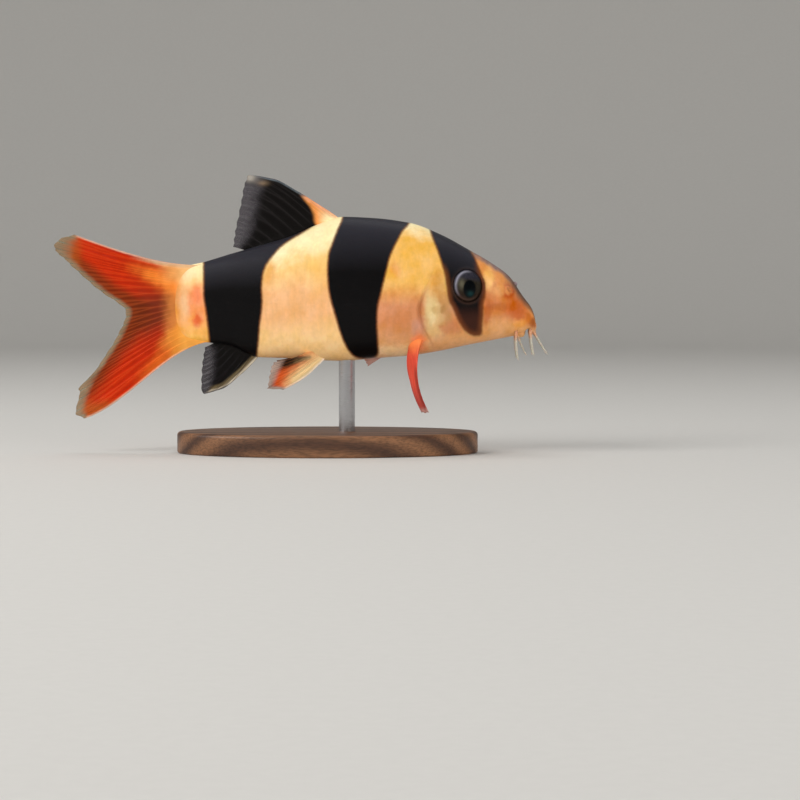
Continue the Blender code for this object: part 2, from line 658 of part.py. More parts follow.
def belly_height(x):
    """Z of the body's lowest point at a place along it."""
    along, values = station_table()
    order = np.argsort(values[:, 2])
    return float(smooth_values(values[order, 2], values[order, 3], x)[0][0])


def rod_top():
    return belly_height(ROD_X) + ROD_SOCKET


def rod(name, radius, low, high, finish_name=None, sides=20):
    turns = [2 * math.pi * k / sides for k in range(sides)]
    circle = [(ROD_X + radius * math.cos(t), radius * math.sin(t)) for t in turns]
    return loft(name, [[Vector((x, y, z)) for x, y in circle] for z in (low, high)], finish_name)


def make_eyes(tree):
    for side, mark in ((-1, "right"), (1, "left")):
        radii = (EYE_RADIUS, EYE_RADIUS, EYE_DEPTH)
        ball("eye_" + mark, eye_matrix(tree, side), radii, 24, 14, "dark_eye")


def make_fins():
    """Every fin, its root cut back to face the body across the gap."""
    for name, (guides, rays, steps, finish_name, special) in FINS.items():
        node = fin(name, guides, rays, steps, finish_name, **special)
        boolean(node, "DIFFERENCE", body("grown", True, GAP, rings=FIN_CUTTER_RINGS))
        smooth_shading(largest_only(node), FIN_SHARP_ANGLE)


def make_barbels(tree):
    for name, (root, bend, tip) in BARBELS.items():
        for side, mark in ((1, "right"), (-1, "left")):
            a, b, c = (Vector((p[0], p[1] * side, p[2])) for p in (root, bend, tip))
            steps = [k / BARBEL_STEPS for k in range(BARBEL_STEPS + 1)]
            path = [a * (1 - u) ** 2 + b * 2 * u * (1 - u) + c * u * u for u in steps]
            radii = smooth_values((0, 0.3, 0.85, 1), BARBEL_RADII, steps).ravel().tolist()
            barbel = tube(f"{name}_{mark}", path, radii, BARBEL_SIDES, "pale_barbel")
            face = body("grown", True, GAP, rings=BARBEL_CUTTER_RINGS)
            boolean(barbel, "DIFFERENCE", face, *lips(tree, GAP))
            smooth_shading(largest_only(barbel), TUBE_SHARP_ANGLE)


def make_stand():
    """An oval plate on the floor, and a rod that rises from it into the belly."""
    sides = 56
    turns = [2 * math.pi * k / sides for k in range(sides)]
    outline = [(BASE_LENGTH / 2 * math.cos(t), BASE_WIDTH / 2 * math.sin(t)) for t in turns]
    rings = []
    foot, top = BASE_BEVEL / 2, BASE_HEIGHT - BASE_BEVEL
    for inset, z in ((foot, 0.0), (0.0, foot), (0.0, top), (BASE_BEVEL, BASE_HEIGHT)):
        shrink_x, shrink_y = 1 - 2 * inset / BASE_LENGTH, 1 - 2 * inset / BASE_WIDTH
        rings.append([Vector((BASE_X + x * shrink_x, y * shrink_y, z)) for x, y in outline])
    loft("stand_base", rings, "oiled_walnut")
    rod("stand_rod", ROD_RADIUS, BASE_HEIGHT + GAP, rod_top(), "brushed_steel")


def main():
    clear_scene()
    guide = body("guide", True)
    tree = surface_tree(guide)
    bpy.data.objects.remove(guide, do_unlink=True)
    make_head(tree)
    make_trunk()
    make_stalk()
    make_eyes(tree)
    make_fins()
    make_barbels(tree)
    make_stand()


main()
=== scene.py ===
"""Looks of a young clown loach, 90 mm long, as a still life-size model on a display stand.

Lengths are in millimetres and are turned to metres as each mesh is made, but for those of the settings,
which Blender keeps in metres. The snout points to +X, the fish's right side faces -Y and +Z is up.
"""

import math

import bmesh
import bpy
import numpy as np
from bpy.props import FloatProperty, FloatVectorProperty, PointerProperty
from bpy.types import Operator, Panel, PropertyGroup
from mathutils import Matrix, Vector


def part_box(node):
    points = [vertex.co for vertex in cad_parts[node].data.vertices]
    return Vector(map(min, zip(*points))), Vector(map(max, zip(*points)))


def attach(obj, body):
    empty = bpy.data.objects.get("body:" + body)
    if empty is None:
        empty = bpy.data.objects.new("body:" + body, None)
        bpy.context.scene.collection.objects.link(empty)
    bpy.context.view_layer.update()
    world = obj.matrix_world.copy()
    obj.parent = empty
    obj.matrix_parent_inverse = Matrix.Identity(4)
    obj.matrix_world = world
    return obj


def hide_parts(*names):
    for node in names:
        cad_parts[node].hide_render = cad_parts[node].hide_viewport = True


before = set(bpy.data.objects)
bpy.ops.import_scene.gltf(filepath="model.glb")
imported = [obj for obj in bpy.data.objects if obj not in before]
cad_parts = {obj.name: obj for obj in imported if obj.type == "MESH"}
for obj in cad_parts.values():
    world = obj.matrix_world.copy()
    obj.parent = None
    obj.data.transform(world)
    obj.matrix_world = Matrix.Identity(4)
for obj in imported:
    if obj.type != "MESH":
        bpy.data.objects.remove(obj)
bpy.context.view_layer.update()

bl_info = {
    "name": "Clown Loach Display Model",
    "version": (1, 0, 0),
    "blender": (4, 5, 0),
    "location": "View3D > Sidebar > Loach",
    "description": "Builds a clown loach with its fins, eyes and barbels on a walnut stand",
    "category": "Object",
}

MM = 0.001

# The body from the end of the tail stalk to the snout: the top point (x, z), the bottom point (x, z), the
# half width, and the level of the widest point between the bottom, 0, and the top, 1.
STATIONS = {
    "tail_root": ((-23.7, 31.4), (-23.7, 23.8), 0.38, 0.50),
    "tail_fan": ((-23.1, 33.2), (-23.1, 22.1), 0.52, 0.50),
    "tail_bulge": ((-21.4, 34.6), (-21.4, 21.1), 0.96, 0.50),
    "stalk": ((-17.8, 35.5), (-17.8, 20.6), 1.95, 0.50),
    "behind_dorsal": ((-13.2, 36.9), (-13.2, 19.9), 3.00, 0.50),
    "vent": ((-8.0, 38.4), (-8.0, 17.8), 4.20, 0.49),
    "hips": ((-2.0, 40.2), (-2.0, 17.6), 5.25, 0.48),
    "belly": ((3.6, 42.6), (3.6, 17.2), 6.10, 0.47),
    "dorsal_front": ((7.9, 43.85), (7.9, 17.1), 6.60, 0.46),
    "shoulder": ((13.8, 43.6), (13.8, 17.6), 6.95, 0.46),
    "breast": ((20.4, 42.7), (20.4, 18.1), 7.05, 0.46),
    "nape": ((26.0, 40.6), (26.0, 19.0), 6.75, 0.47),
    "eye": ((31.2, 37.8), (31.2, 20.1), 5.90, 0.50),
    "cheek": ((35.3, 35.4), (35.3, 20.9), 5.00, 0.50),
    "nostril": ((38.7, 32.9), (38.4, 21.5), 4.05, 0.48),
    "muzzle": ((41.3, 29.2), (40.6, 21.9), 3.15, 0.46),
    "upper_lip": ((43.0, 26.8), (42.6, 22.1), 2.45, 0.46),
    "snout_front": ((43.6, 25.0), (43.45, 22.5), 1.65, 0.46),
    "snout_tip": ((43.72, 24.2), (43.68, 23.2), 0.75, 0.50),
}
# How full the body is above and below its widest points: 2 gives an oval, and more is squarer.
BACK_POWER, BELLY_POWER = 1.95, 2.25
# Rings of the skin over each stretch of the body, the points round each, and how much more closely the head's
# rings follow each other towards the snout.
TRUNK_RINGS, HEAD_RINGS, SNOUT_RINGS, SKIN_SIDES = 165, 240, 7, 240
HEAD_CROWDING = 1.35
# How far the rounded end of the snout stands out in front of the last station.
SNOUT_ROUNDING = 0.12

# The gill cover: the rearmost point of its edge, how far the edge sweeps forward above and below it, half its
# height, and the length over which its swell fades forward.
GILL_REAR_X, GILL_Z, GILL_SWEEP, GILL_HALF_HEIGHT, GILL_LENGTH = 22.3, 26.5, 4.1, 6.9, 6.0
# The groove behind its rear edge: depth, place from the edge, and width.
GILL_GROOVE = (0.14, -0.4, 0.3)
# Painted shade in the groove: strength, place from the edge and width, then its middle and half height.
GILL_GROOVE_SHADE = (0.65, -0.15, 0.34)
GILL_GROOVE_SHADE_Z, GILL_GROOVE_SHADE_HALF_HEIGHT = 27.8, 3.4

# Edges of the black bands as they lie on the body, (x, z) from the back to the belly.
REAR_BAND_REAR = (
    (-18.1, 38.5), (-17.87, 35.28), (-17.77, 32.13), (-17.75, 29.36), (-17.37, 26.59),
    (-17.04, 23.81), (-16.81, 20.62), (-16.7, 17.0),
)
REAR_BAND_FRONT = (
    (2.9, 44.0), (2.73, 42.88), (1.8, 41.95), (-0.02, 40.73), (-1.85, 39.61), (-3.67, 38.22),
    (-5.11, 36.56), (-6.38, 34.71), (-6.91, 32.87), (-7.07, 30.67), (-6.97, 28.47), (-7.07, 26.63),
    (-7.47, 23.86), (-7.71, 21.07), (-7.97, 19.19), (-8.17, 18.02), (-8.4, 16.0),
)
MIDDLE_BAND_REAR = (
    (8.1, 45.0), (7.95, 43.59), (7.08, 41.33), (6.19, 38.93), (5.47, 36.72), (5.3, 33.97),
    (5.41, 31.6), (5.68, 29.4), (6.23, 27.39), (6.95, 24.82), (7.67, 22.43), (8.56, 20.19),
    (9.46, 18.68), (10.35, 17.8), (11.4, 17.0),
)
MIDDLE_BAND_FRONT = (
    (20.6, 44.0), (19.98, 42.48), (18.87, 41.15), (17.95, 39.48), (17.22, 38.0), (16.48, 36.17),
    (15.94, 33.97), (15.39, 31.78), (14.84, 29.41), (14.38, 27.58), (14.2, 25.75), (14.19, 23.91),
    (14.28, 22.06), (14.36, 20.19), (14.44, 18.86), (14.05, 17.87), (13.4, 17.0),
)
HEAD_BAND_REAR = (
    (23.8, 42.8), (24.24, 41.19), (24.76, 39.5), (25.48, 37.65), (26.2, 35.44), (26.93, 33.06),
    (27.29, 30.68), (27.66, 28.48), (28.4, 27.02), (28.96, 25.73), (29.71, 24.25), (30.65, 22.95),
    (31.4, 22.29), (32.2, 21.4),
)
HEAD_BAND_FRONT = (
    (31.2, 38.6), (31.65, 37.31), (32.34, 35.82), (32.86, 34.34), (33.4, 32.87), (33.94, 31.22),
    (33.93, 29.39), (33.56, 27.55), (33.57, 25.71), (33.41, 23.87), (33.44, 22.28), (33.3, 21.4),
)
# Each band: rear edge, front edge, and the height where it ends above the belly.
BANDS = {
    "rear": (REAR_BAND_REAR, REAR_BAND_FRONT, -10.0),
    "middle": (MIDDLE_BAND_REAR, MIDDLE_BAND_FRONT, 17.6),
    "head": (HEAD_BAND_REAR, HEAD_BAND_FRONT, 22.0),
}

# Eye: half length, half height, how far its ball reaches outward, and its inward reach as a share of that.
EYE_LONG, EYE_TALL, EYE_DEEP, EYE_BACK = 2.85, 3.12, 2.0, 0.7
EYE_RINGS, EYE_SIDES = 40, 96
# Pupil: where its middle lies from the eye's, its half length and half height.
PUPIL_PLACE, PUPIL_LONG, PUPIL_TALL = (0.1, -0.7), 1.12, 1.5
# The fold of skin round the eye and the wall of its socket, as shares of the eye's reach, and the socket's
# depth.
FOLD_PLACE, FOLD_WIDTH = 1.04, 0.075
SOCKET_WALL, SOCKET_DEPTH = (0.97, 0.84), 1.7
# How many points of the skin set the way an eye faces, and what is added to the distance of a point on the
# other side of the fish, so that it is never the nearest.
EYE_SKIN_POINTS, OTHER_SIDE = 300, 1e6

# Nostril: place (x, z) and radius, height and width of the ring round it, depth of its pit and strength of the
# painted shade in it.
NOSTRIL_PLACE, NOSTRIL_RADIUS = (38.6, 30.3), 0.6
NOSTRIL_RING_HEIGHT, NOSTRIL_RING_WIDTH = 0.27, 0.16
NOSTRIL_PIT_DEPTH, NOSTRIL_SHADE = 0.2, 0.2
# The flap of skin beside it.
FLAP_PLACE, FLAP_HEIGHT, FLAP_RADIUS = (39.85, 31.35), 0.45, 0.42
# Mouth: middle of the upper lip's arc, its reach forward and half its width.
MOUTH_X, UPPER_LIP_REACH, UPPER_LIP_WIDTH = 42.0, 1.35, 1.8
# How far each lobe of the lower lip lies behind that middle and aside, and its half length and half width.
LOWER_LIP_BACK, LOWER_LIP_ASIDE, LOWER_LIP_LOBE = 1.1, 0.75, (1.05, 0.9)
# The slit between the lips: its place, half length and half width.
MOUTH_OPENING_X, MOUTH_SLIT = 42.25, (0.62, 2.1)

# Stand: the rod, and the oval base with its rounded upper edge and bevelled foot.
ROD_X, ROD_RADIUS, ROD_TOP = 8.6, 1.5, 19.4
BASE_X, BASE_LENGTH, BASE_WIDTH, BASE_HEIGHT, BASE_BEVEL, BASE_FOOT = 5.0, 56.0, 29.0, 4.0, 0.7, 0.35


def flat(x, z, y=0.0):
    """A point given as it shows from the side."""
    return (x, y, z)


# Guide rays of each fin from its leading edge to its rear edge: the share across the fin, root, tip, and the
# bow near the root and near the tip.
DORSAL_GUIDES = (
    (0.0, flat(7.7, 43.2), flat(4.4, 45.5), 0.1, 0.1),
    (0.1, flat(7.0, 43.0), flat(-0.6, 48.65), 0.15, 0.15),
    (0.2, flat(6.0, 42.8), flat(-5.2, 51.0, 0.2), 0.6, 0.6),
    (0.3, flat(4.7, 42.4), flat(-9.6, 51.65, 0.4), 1.3, 2.3),
    (0.4, flat(3.3, 41.9), flat(-10.3, 50.4, 0.5), 1.2, 2.7),
    (0.6, flat(-0.6, 40.1), flat(-11.1, 46.6, 0.5), 0.9, 2.2),
    (0.8, flat(-5.6, 38.5), flat(-12.1, 41.8, 0.3), 0.4, 1.1),
    (1.0, flat(-9.4, 37.3), flat(-12.6, 38.3, 0.2), 0.1, 0.1),
)
ANAL_GUIDES = (
    (0.00, flat(-7.5, 18.2), flat(-10.7, 14.9), -0.1, -0.1),
    (0.14, flat(-8.9, 18.6), flat(-14.6, 11.85, -0.1), -0.55, -0.55),
    (0.29, flat(-9.8, 18.9), flat(-18.2, 10.9, -0.2), -1.2, -2.0),
    (0.43, flat(-10.9, 19.3), flat(-18.6, 12.7, -0.3), -0.7, -1.8),
    (0.70, flat(-13.2, 20.1), flat(-18.4, 16.3, -0.2), -0.3, -1.0),
    (1.00, flat(-15.3, 20.9), flat(-17.9, 19.6, -0.1), -0.1, -0.1),
)
CAUDAL_GUIDES = (
    (0.00, flat(-19.3, 34.9), flat(-42.1, 40.6, 0.5), -1.75, -0.85),
    (0.05, flat(-21.2, 34.0), flat(-44.6, 39.9, 0.6), -1.3, -0.5),
    (0.10, flat(-22.5, 33.1), flat(-45.95, 38.4, 0.7), -0.9, -0.2),
    (0.25, flat(-23.0, 31.9), flat(-43.2, 35.3, 0.7), -0.3, 0.2),
    (0.38, flat(-23.3, 30.2), flat(-37.8, 30.3, 0.6), 0.1, 0.3),
    (0.50, flat(-23.5, 27.6), flat(-32.6, 26.0, 0.5), 0.1, 0.1),
    (0.62, flat(-23.4, 25.6), flat(-34.4, 21.5, 0.6), 0.3, 0.1),
    (0.75, flat(-23.0, 23.8), flat(-38.0, 15.8, 0.7), 0.5, 0.1),
    (0.88, flat(-22.1, 22.3), flat(-41.6, 9.9, 0.7), 1.0, -0.1),
    (0.94, flat(-20.3, 21.4), flat(-42.2, 7.3, 0.6), 2.1, -1.4),
    (1.00, flat(-17.9, 20.5), flat(-40.5, 6.3, 0.5), 3.1, -2.7),
)
PELVIC_GUIDES = (
    (0.0, (4.5, -1.4, 17.8), (-3.1, -4.6, 11.9), -1.0, -0.7),
    (0.3, (3.5, -2.1, 18.2), (-6.0, -5.7, 12.2), -0.3, -0.4),
    (0.6, (2.6, -2.7, 18.4), (-5.6, -6.0, 14.6), -0.1, -0.1),
    (1.0, (1.4, -3.3, 18.7), (-4.8, -5.6, 17.0), 0.0, 0.0),
)
HANGING_PECTORAL_GUIDES = (
    (0.00, (22.5, -5.0, 21.5), (23.7, -9.3, 7.9), -1.9, -2.2),
    (0.33, (21.9, -4.9, 21.4), (22.9, -7.2, 7.7), -1.8, -2.1),
    (0.66, (21.2, -4.7, 21.1), (21.7, -4.6, 9.6), -1.5, -1.7),
    (1.00, (20.6, -4.4, 20.7), (20.2, -2.9, 14.2), -0.7, -0.7),
)
SPREAD_PECTORAL_GUIDES = (
    (0.00, (21.8, 4.6, 20.6), (12.2, 11.6, 15.6), 0.6, 0.6),
    (0.33, (21.4, 4.9, 21.5), (11.6, 12.4, 17.2), -0.3, -0.2),
    (0.66, (21.0, 5.2, 22.4), (13.0, 12.2, 19.6), 0.0, 0.0),
    (1.00, (20.6, 5.4, 23.3), (15.6, 10.4, 22.0), 0.2, 0.2),
)

# Width of each fin's clear margin across the fin, (share, width).
DORSAL_MARGIN = ((0.0, 0.4), (0.15, 0.5), (0.25, 1.0), (0.32, 3.6), (0.5, 3.5), (0.8, 3.0), (1.0, 1.6))
ANAL_MARGIN = ((0.0, 0.6), (0.14, 0.9), (0.29, 1.5), (0.45, 3.0), (0.8, 2.6), (1.0, 1.4))
CAUDAL_MARGIN = ((0.0, 0.6), (0.04, 2.2), (0.10, 3.0), (0.2, 1.9), (0.38, 1.3), (0.5, 1.1), (0.62, 1.4),
                 (0.75, 1.8), (0.88, 2.2), (0.96, 1.8), (1.0, 0.6))
PELVIC_MARGIN = ((0.0, 0.6), (0.12, 1.4), (0.35, 1.5), (0.6, 1.9), (1.0, 2.0))
PECTORAL_MARGIN = ((0.0, 0.7), (0.5, 1.0), (1.0, 1.0))
# Where the black of the dorsal fin meets its golden front, (z, x).
DORSAL_WEDGE = ((42.0, 3.2), (42.9, 2.75), (44.4, 2.5), (45.7, 1.9), (47.0, 0.85), (47.9, 0.4), (49.5, 0.4))
# Streaks of colour on the fins: points (x, z, half width) along the middle of each.
CAUDAL_ORANGE = ((-22.6, 31.2, 2.1), (-25.8, 32.3, 1.8), (-29.0, 33.6, 1.4), (-33.5, 35.2, 0.9))
CAUDAL_BROWN = ((-24.8, 27.2, 2.9), (-27.0, 26.2, 3.7), (-30.0, 25.4, 4.0), (-33.5, 25.2, 3.2))
CAUDAL_CREAM = ((-19.5, 35.3, 1.0), (-23.5, 35.2, 0.8), (-27.0, 35.5, 0.4), (-32.0, 36.4, 0.2))
PELVIC_ORANGE = ((2.4, 16.9, 0.8), (0.0, 15.3, 1.1), (-2.0, 13.9, 1.1), (-3.4, 13.0, 0.7))
PELVIC_CREAM = ((4.2, 17.4, 1.6), (1.0, 15.0, 1.7), (-1.5, 13.2, 1.1), (-3.6, 12.0, 0.6))
PELVIC_BLACK = (
    (1.6, 17.8, 0.35), (-0.4, 17.4, 0.6), (-2.0, 17.0, 0.9), (-3.4, 16.4, 1.0), (-4.4, 16.0, 1.0),
)
STREAK_MARKS = 28
# The flap on the lower lobe of the caudal fin: its middle and half width across the fin, and its reach.
CAUDAL_FLAP = (0.815, 0.03, 1.7)

# Each fork of a ray: where along the fin it starts and ends, and how far it spreads, in gaps between rays.
RAY_FORKS = ((0.3, 0.8, 0.22), (0.6, 1.0, 0.10))
# Steps of the mesh in each gap between rays, and half the width of a ray as a share of the gap.
GAP_STEPS, RAY_WIDTH = 12, 0.13
# How deep the skin is cut between the tips of the rays, and how uneven the tips are.
EDGE_NOTCH, EDGE_UNEVEN = 0.22, 0.12
# How deep a fin's two hidden rows lie in the body, how thick its root is, and where its rear tips begin.
ROOT_DEPTHS, ROOT_THICKNESS, REAR_TIPS = (1.2, 0.6), 0.95, 0.95

# Barbels of the right side: root, bend and tip. The left ones mirror them.
BARBELS = {
    "barbel_snout_front": ((43.3, -1.45, 22.5), (44.6, -1.75, 20.3), (45.9, -2.0, 18.3)),
    "barbel_snout_rear": ((42.7, -2.05, 22.4), (42.8, -2.75, 20.2), (43.3, -3.0, 18.1)),
    "barbel_mouth_corner": ((40.0, -2.35, 22.2), (39.9, -3.1, 19.6), (40.4, -3.4, 17.3)),
    "barbel_lower_lip": ((40.3, -1.05, 22.1), (41.0, -1.15, 20.0), (42.0, -1.3, 18.2)),
}
BARBEL_STEPS, BARBEL_SIDES = 48, 20
# How far a barbel starts inside the lip.
BARBEL_DEPTH = 0.7

# Soft patches of colour on the skin, two of them painted light from below: middle (x, z), half length, half
# height, strength and colour.
SKIN_PATCHES = {
    "gill_shade_upper": (25.4, 32.0, 1.5, 2.6, 0.55, "#cf8f4c"),
    "gill_cover_tan": (26.4, 26.6, 2.0, 4.2, 0.75, "#c3935a"),
    "gill_cover_shine": (24.2, 26.3, 1.45, 3.7, 0.85, "#ecd59c"),
    "gill_cover_shine_low": (25.2, 23.4, 1.5, 2.0, 0.7, "#e6be80"),
    "gill_cover_fleck": (26.0, 25.4, 0.8, 0.9, 0.5, "#e4bd86"),
    "gill_fleck_bright": (24.3, 24.8, 0.6, 1.2, 0.4, "#f2deb0"),
    "gill_fleck_dark": (26.5, 26.8, 0.7, 0.9, 0.55, "#a67f4c"),
    "gill_fleck_rust": (26.6, 23.5, 0.7, 0.5, 0.5, "#c98858"),
    "gill_cover_rust": (28.0, 23.4, 2.0, 1.3, 0.6, "#ca7a4b"),
    # A pale strip low on the breast, painted lighter as light from below.
    "breast_lit_from_below": (17.5, 18.9, 4.5, 1.3, 0.85, "#ffdba6"),
    "gill_fleck_tan": (24.9, 26.6, 0.5, 0.8, 0.5, "#c4965e"),
    "rust_behind_gill": (19.4, 24.9, 3.6, 3.4, 0.5, "#cb8250"),
    "rose_behind_gill": (22.0, 23.0, 1.3, 2.2, 0.5, "#d09684"),
    "pectoral_root": (21.9, 20.6, 1.6, 1.7, 0.75, "#ff8650"),
    "rust_by_band": (17.6, 34.0, 0.9, 1.6, 0.5, "#e9964e"),
    "flank_gold": (3.4, 33.6, 2.4, 4.0, 0.45, "#f9c871"),
    "flank_rust": (-5.4, 33.6, 1.3, 2.2, 0.5, "#e39a4e"),
    "before_eye": (34.9, 32.4, 1.0, 2.1, 0.85, "#fcc372"),
    "snout_amber": (37.2, 29.2, 2.6, 1.2, 0.5, "#dd8a42"),
    "snout_rust": (36.4, 27.2, 2.8, 0.55, 0.6, "#ba672e"),
    "snout_rust_front": (40.2, 27.0, 2.1, 2.6, 0.65, "#c45820"),
    "nostril_ring": (38.6, 30.1, 1.3, 1.5, 0.9, "#b9481f"),
    "nostril_middle": (38.6, 30.3, 0.75, 0.85, 0.9, "#dd935a"),
    "cheek_pale": (37.0, 24.0, 2.3, 1.2, 0.5, "#e8a564"),
    "muzzle_gold": (40.6, 24.0, 1.5, 0.9, 0.85, "#eaa050"),
    "snout_gold": (36.8, 30.2, 1.3, 1.1, 0.5, "#f0ae66"),
    "rust_below_eye": (34.6, 26.0, 0.8, 2.6, 0.6, "#b65a2a"),
    "muzzle_tip": (43.2, 24.2, 0.6, 1.1, 0.6, "#8f4e2c"),
    "stalk_red_upper": (-19.1, 29.6, 1.05, 1.8, 0.8, "#f4824a"),
    "stalk_red_lower": (-19.0, 24.8, 0.95, 1.25, 0.9, "#e9663a"),
    "stalk_cream": (-18.4, 33.8, 1.5, 1.6, 0.7, "#f9e2a4"),
    # A pale strip on the lower edge of the tail stalk, painted lighter as light from below.
    "stalk_lit_from_below": (-20.0, 21.2, 2.8, 1.0, 0.8, "#ffc468"),
    "stalk_crescent": (-21.7, 27.8, 1.1, 3.4, 0.8, "#eec08a"),
}


def to_linear(colour):
    """Linear colour of an sRGB hex value."""
    parts = [int(colour[k : k + 2], 16) / 255 for k in (1, 3, 5)]
    return tuple(p / 12.92 if p <= 0.04045 else ((p + 0.055) / 1.055) ** 2.4 for p in parts)


def colour_setting(name, description, default):
    return FloatVectorProperty(
        name=name, description=description, default=to_linear(default), size=3, min=0, max=1, subtype="COLOR"
    )


def length_setting(name, description, default):
    return FloatProperty(
        name=name, description=description, default=default * MM, min=0, precision=5, unit="LENGTH"
    )


def power_setting(name, description, default):
    return FloatProperty(name=name, description=description, default=default, min=0, unit="POWER")


class SkinSettings(PropertyGroup):
    """Colours and relief of the body."""

    flank: colour_setting("Flank", "Trunk between the rear and the middle band", "#f2b880")
    upper_flank: colour_setting("Upper flank", "Trunk below the dorsal fin", "#f8ca80")
    cream: colour_setting("Cream", "Palest skin, beside the dorsal fin", "#fdeab6")
    # Belly: the underside's own pale colour, painted lighter still to stand in for light from below.
    belly: colour_setting("Belly", "Underside of the trunk", "#ffd292")
    shoulder: colour_setting("Shoulder", "Golden skin behind the head", "#f1ba62")
    breast: colour_setting("Breast", "Rusty skin low on the gill cover", "#dc9162")
    throat: colour_setting("Throat", "Underside of the head", "#e3a56b")
    forehead: colour_setting("Forehead", "Upper side of the snout", "#e59a5e")
    cheek: colour_setting("Cheek", "Side of the snout", "#d07a40")
    # Brow: a painted greyish-violet sheen along the top profile of the snout.
    brow: colour_setting("Brow", "Dull skin along the top of the snout", "#8a6f69")
    muzzle: colour_setting("Muzzle", "Dusky front of the snout's top", "#5b4337")
    stalk: colour_setting("Tail stalk", "Pale skin behind the rear band", "#fbcd88")
    stalk_red: colour_setting("Red of the tail stalk", "Middle of the tail stalk", "#f59b60")
    stalk_low: colour_setting("Low tail stalk", "Lower edge of the tail stalk", "#fab55a")
    fin_root: colour_setting("Fin root", "Tail stalk where the caudal fin leaves it", "#e39a54")
    band: colour_setting("Band", "The three dark bands", "#090809")
    # Painted bluish sheen where the bands cross the back.
    band_back_sheen: colour_setting("Band on the back", "The bands where they cross the back", "#2b2a31")
    band_low: colour_setting("Band below the eye", "The head band on the cheek", "#3b1f16")
    band_edge: colour_setting("Band edge", "Rust brown where a band meets the gold", "#6a3519")
    band_fringe: colour_setting("Fringe on the head", "Dark red skin along the head band", "#522616")
    lips: colour_setting("Lips", "Fleshy lips", "#dcaa78")
    scale_size: length_setting("Scale size", "Length of one scale", 0.42)
    blotch_size: length_setting("Blotch size", "Size of the soft blotches in the gold", 3.2)
    gill_step: length_setting("Gill cover step", "How far the gill cover stands out at its rear edge", 0.5)
    lip_height: length_setting("Lip height", "How far the upper lip stands out", 0.42)
    rim_height: length_setting("Eye rim height", "How far the fold of skin round the eye stands out", 0.13)


class EyeSettings(PropertyGroup):
    """Colours of the eyes."""

    iris: colour_setting("Iris", "Middle of the iris", "#2b261d")
    iris_top: colour_setting("Top of the iris", "Dusky violet over the pupil", "#2b2932")
    iris_low: colour_setting("Low iris", "Iris below the pupil", "#271c14")
    pupil: colour_setting("Pupil", "Pupil", "#020507")
    # Glint: a painted green reflection at the foot of the pupil.
    glint: colour_setting("Glint", "Green depth at the foot of the pupil", "#0f2f30")
    # Ring: the iris's pale ring, painted brightest at the upper left as a highlight.
    ring: colour_setting("Ring", "Pale ring inside the rim", "#9896a5")
    ring_low: colour_setting("Low ring", "The ring below and in front of the pupil", "#4c372f")
    patch: colour_setting("Iris patch", "Olive patch behind the pupil", "#625e4d")


class FinSettings(PropertyGroup):
    """Colours and relief of the fins."""

    red: colour_setting("Red", "Caudal lobes and pelvic fins", "#c62a04")
    orange: colour_setting("Orange", "Caudal fin near its base", "#fb8c34")
    dusk: colour_setting("Dusk", "Middle of the caudal fin", "#82301a")
    black: colour_setting("Black", "Dorsal and anal fins", "#12100f")
    gold: colour_setting("Gold", "Front of the dorsal fin", "#fa9f52")
    cream: colour_setting("Cream", "Front of the pelvic fins", "#ffdc9f")
    coral: colour_setting("Coral", "Pectoral fins", "#e6533f")
    clear: colour_setting("Clear margin", "Thin margins of the red fins", "#8b8265")
    smoke: colour_setting("Smoky margin", "Thin margins of the black fins", "#524e53")
    olive: colour_setting("Olive edge", "Leading edge of the anal fin", "#75664a")
    membrane: length_setting("Membrane", "Thickness of the skin between the rays", 0.24)
    margin: length_setting("Margin thickness", "Thickness at the tips of the rays", 0.1)
    ray_height: length_setting("Ray height", "How far a ray stands out on each side", 0.08)
    ruffle: length_setting("Ruffle", "How far the margin waves to each side", 0.28)


class BarbelSettings(PropertyGroup):
    """Colours and thickness of the barbels."""

    root: colour_setting("Root", "Barbel where it leaves the lip", "#d39a74")
    tip: colour_setting("Tip", "Barbel towards its tip", "#bdb8a8")
    thickness: length_setting("Thickness", "Radius of a barbel at its root", 0.25)


class StandSettings(PropertyGroup):
    """Colours of the stand."""

    walnut_light: colour_setting("Light walnut", "Early wood", "#8a5f3f")
    walnut_dark: colour_setting("Dark walnut", "Late wood", "#4b2e1d")
    steel: colour_setting("Steel", "Rod", "#c3c3c6")
    grain: length_setting("Grain", "Distance between growth rings", 1.3)


class StageSettings(PropertyGroup):
    """Floor, light and camera."""

    floor: colour_setting("Floor", "Floor and backdrop", "#dcdad6")
    key: power_setting("Key light", "Power of the light on the left", 2.08)
    fill: power_setting("Fill light", "Power of the light on the right", 1.15)
    top: power_setting("Top light", "Power of the light above", 0.8)
    low: power_setting("Low light", "Power of the light near the floor", 0.13)
    sky: FloatProperty(name="Sky", description="Brightness of the surrounding light", default=0.3, min=0)
    lens: FloatProperty(name="Lens", description="Focal length", default=108.7, min=1, unit="CAMERA")
    distance: length_setting("Distance", "Camera to the point it looks at", 450.0)
    pitch: FloatProperty(
        name="Pitch", description="How far the camera looks down", default=math.radians(3), unit="ROTATION"
    )


class LoachSettings(PropertyGroup):
    """All settings of the model."""

    skin: PointerProperty(type=SkinSettings)
    eyes: PointerProperty(type=EyeSettings)
    fins: PointerProperty(type=FinSettings)
    barbels: PointerProperty(type=BarbelSettings)
    stand: PointerProperty(type=StandSettings)
    stage: PointerProperty(type=StageSettings)


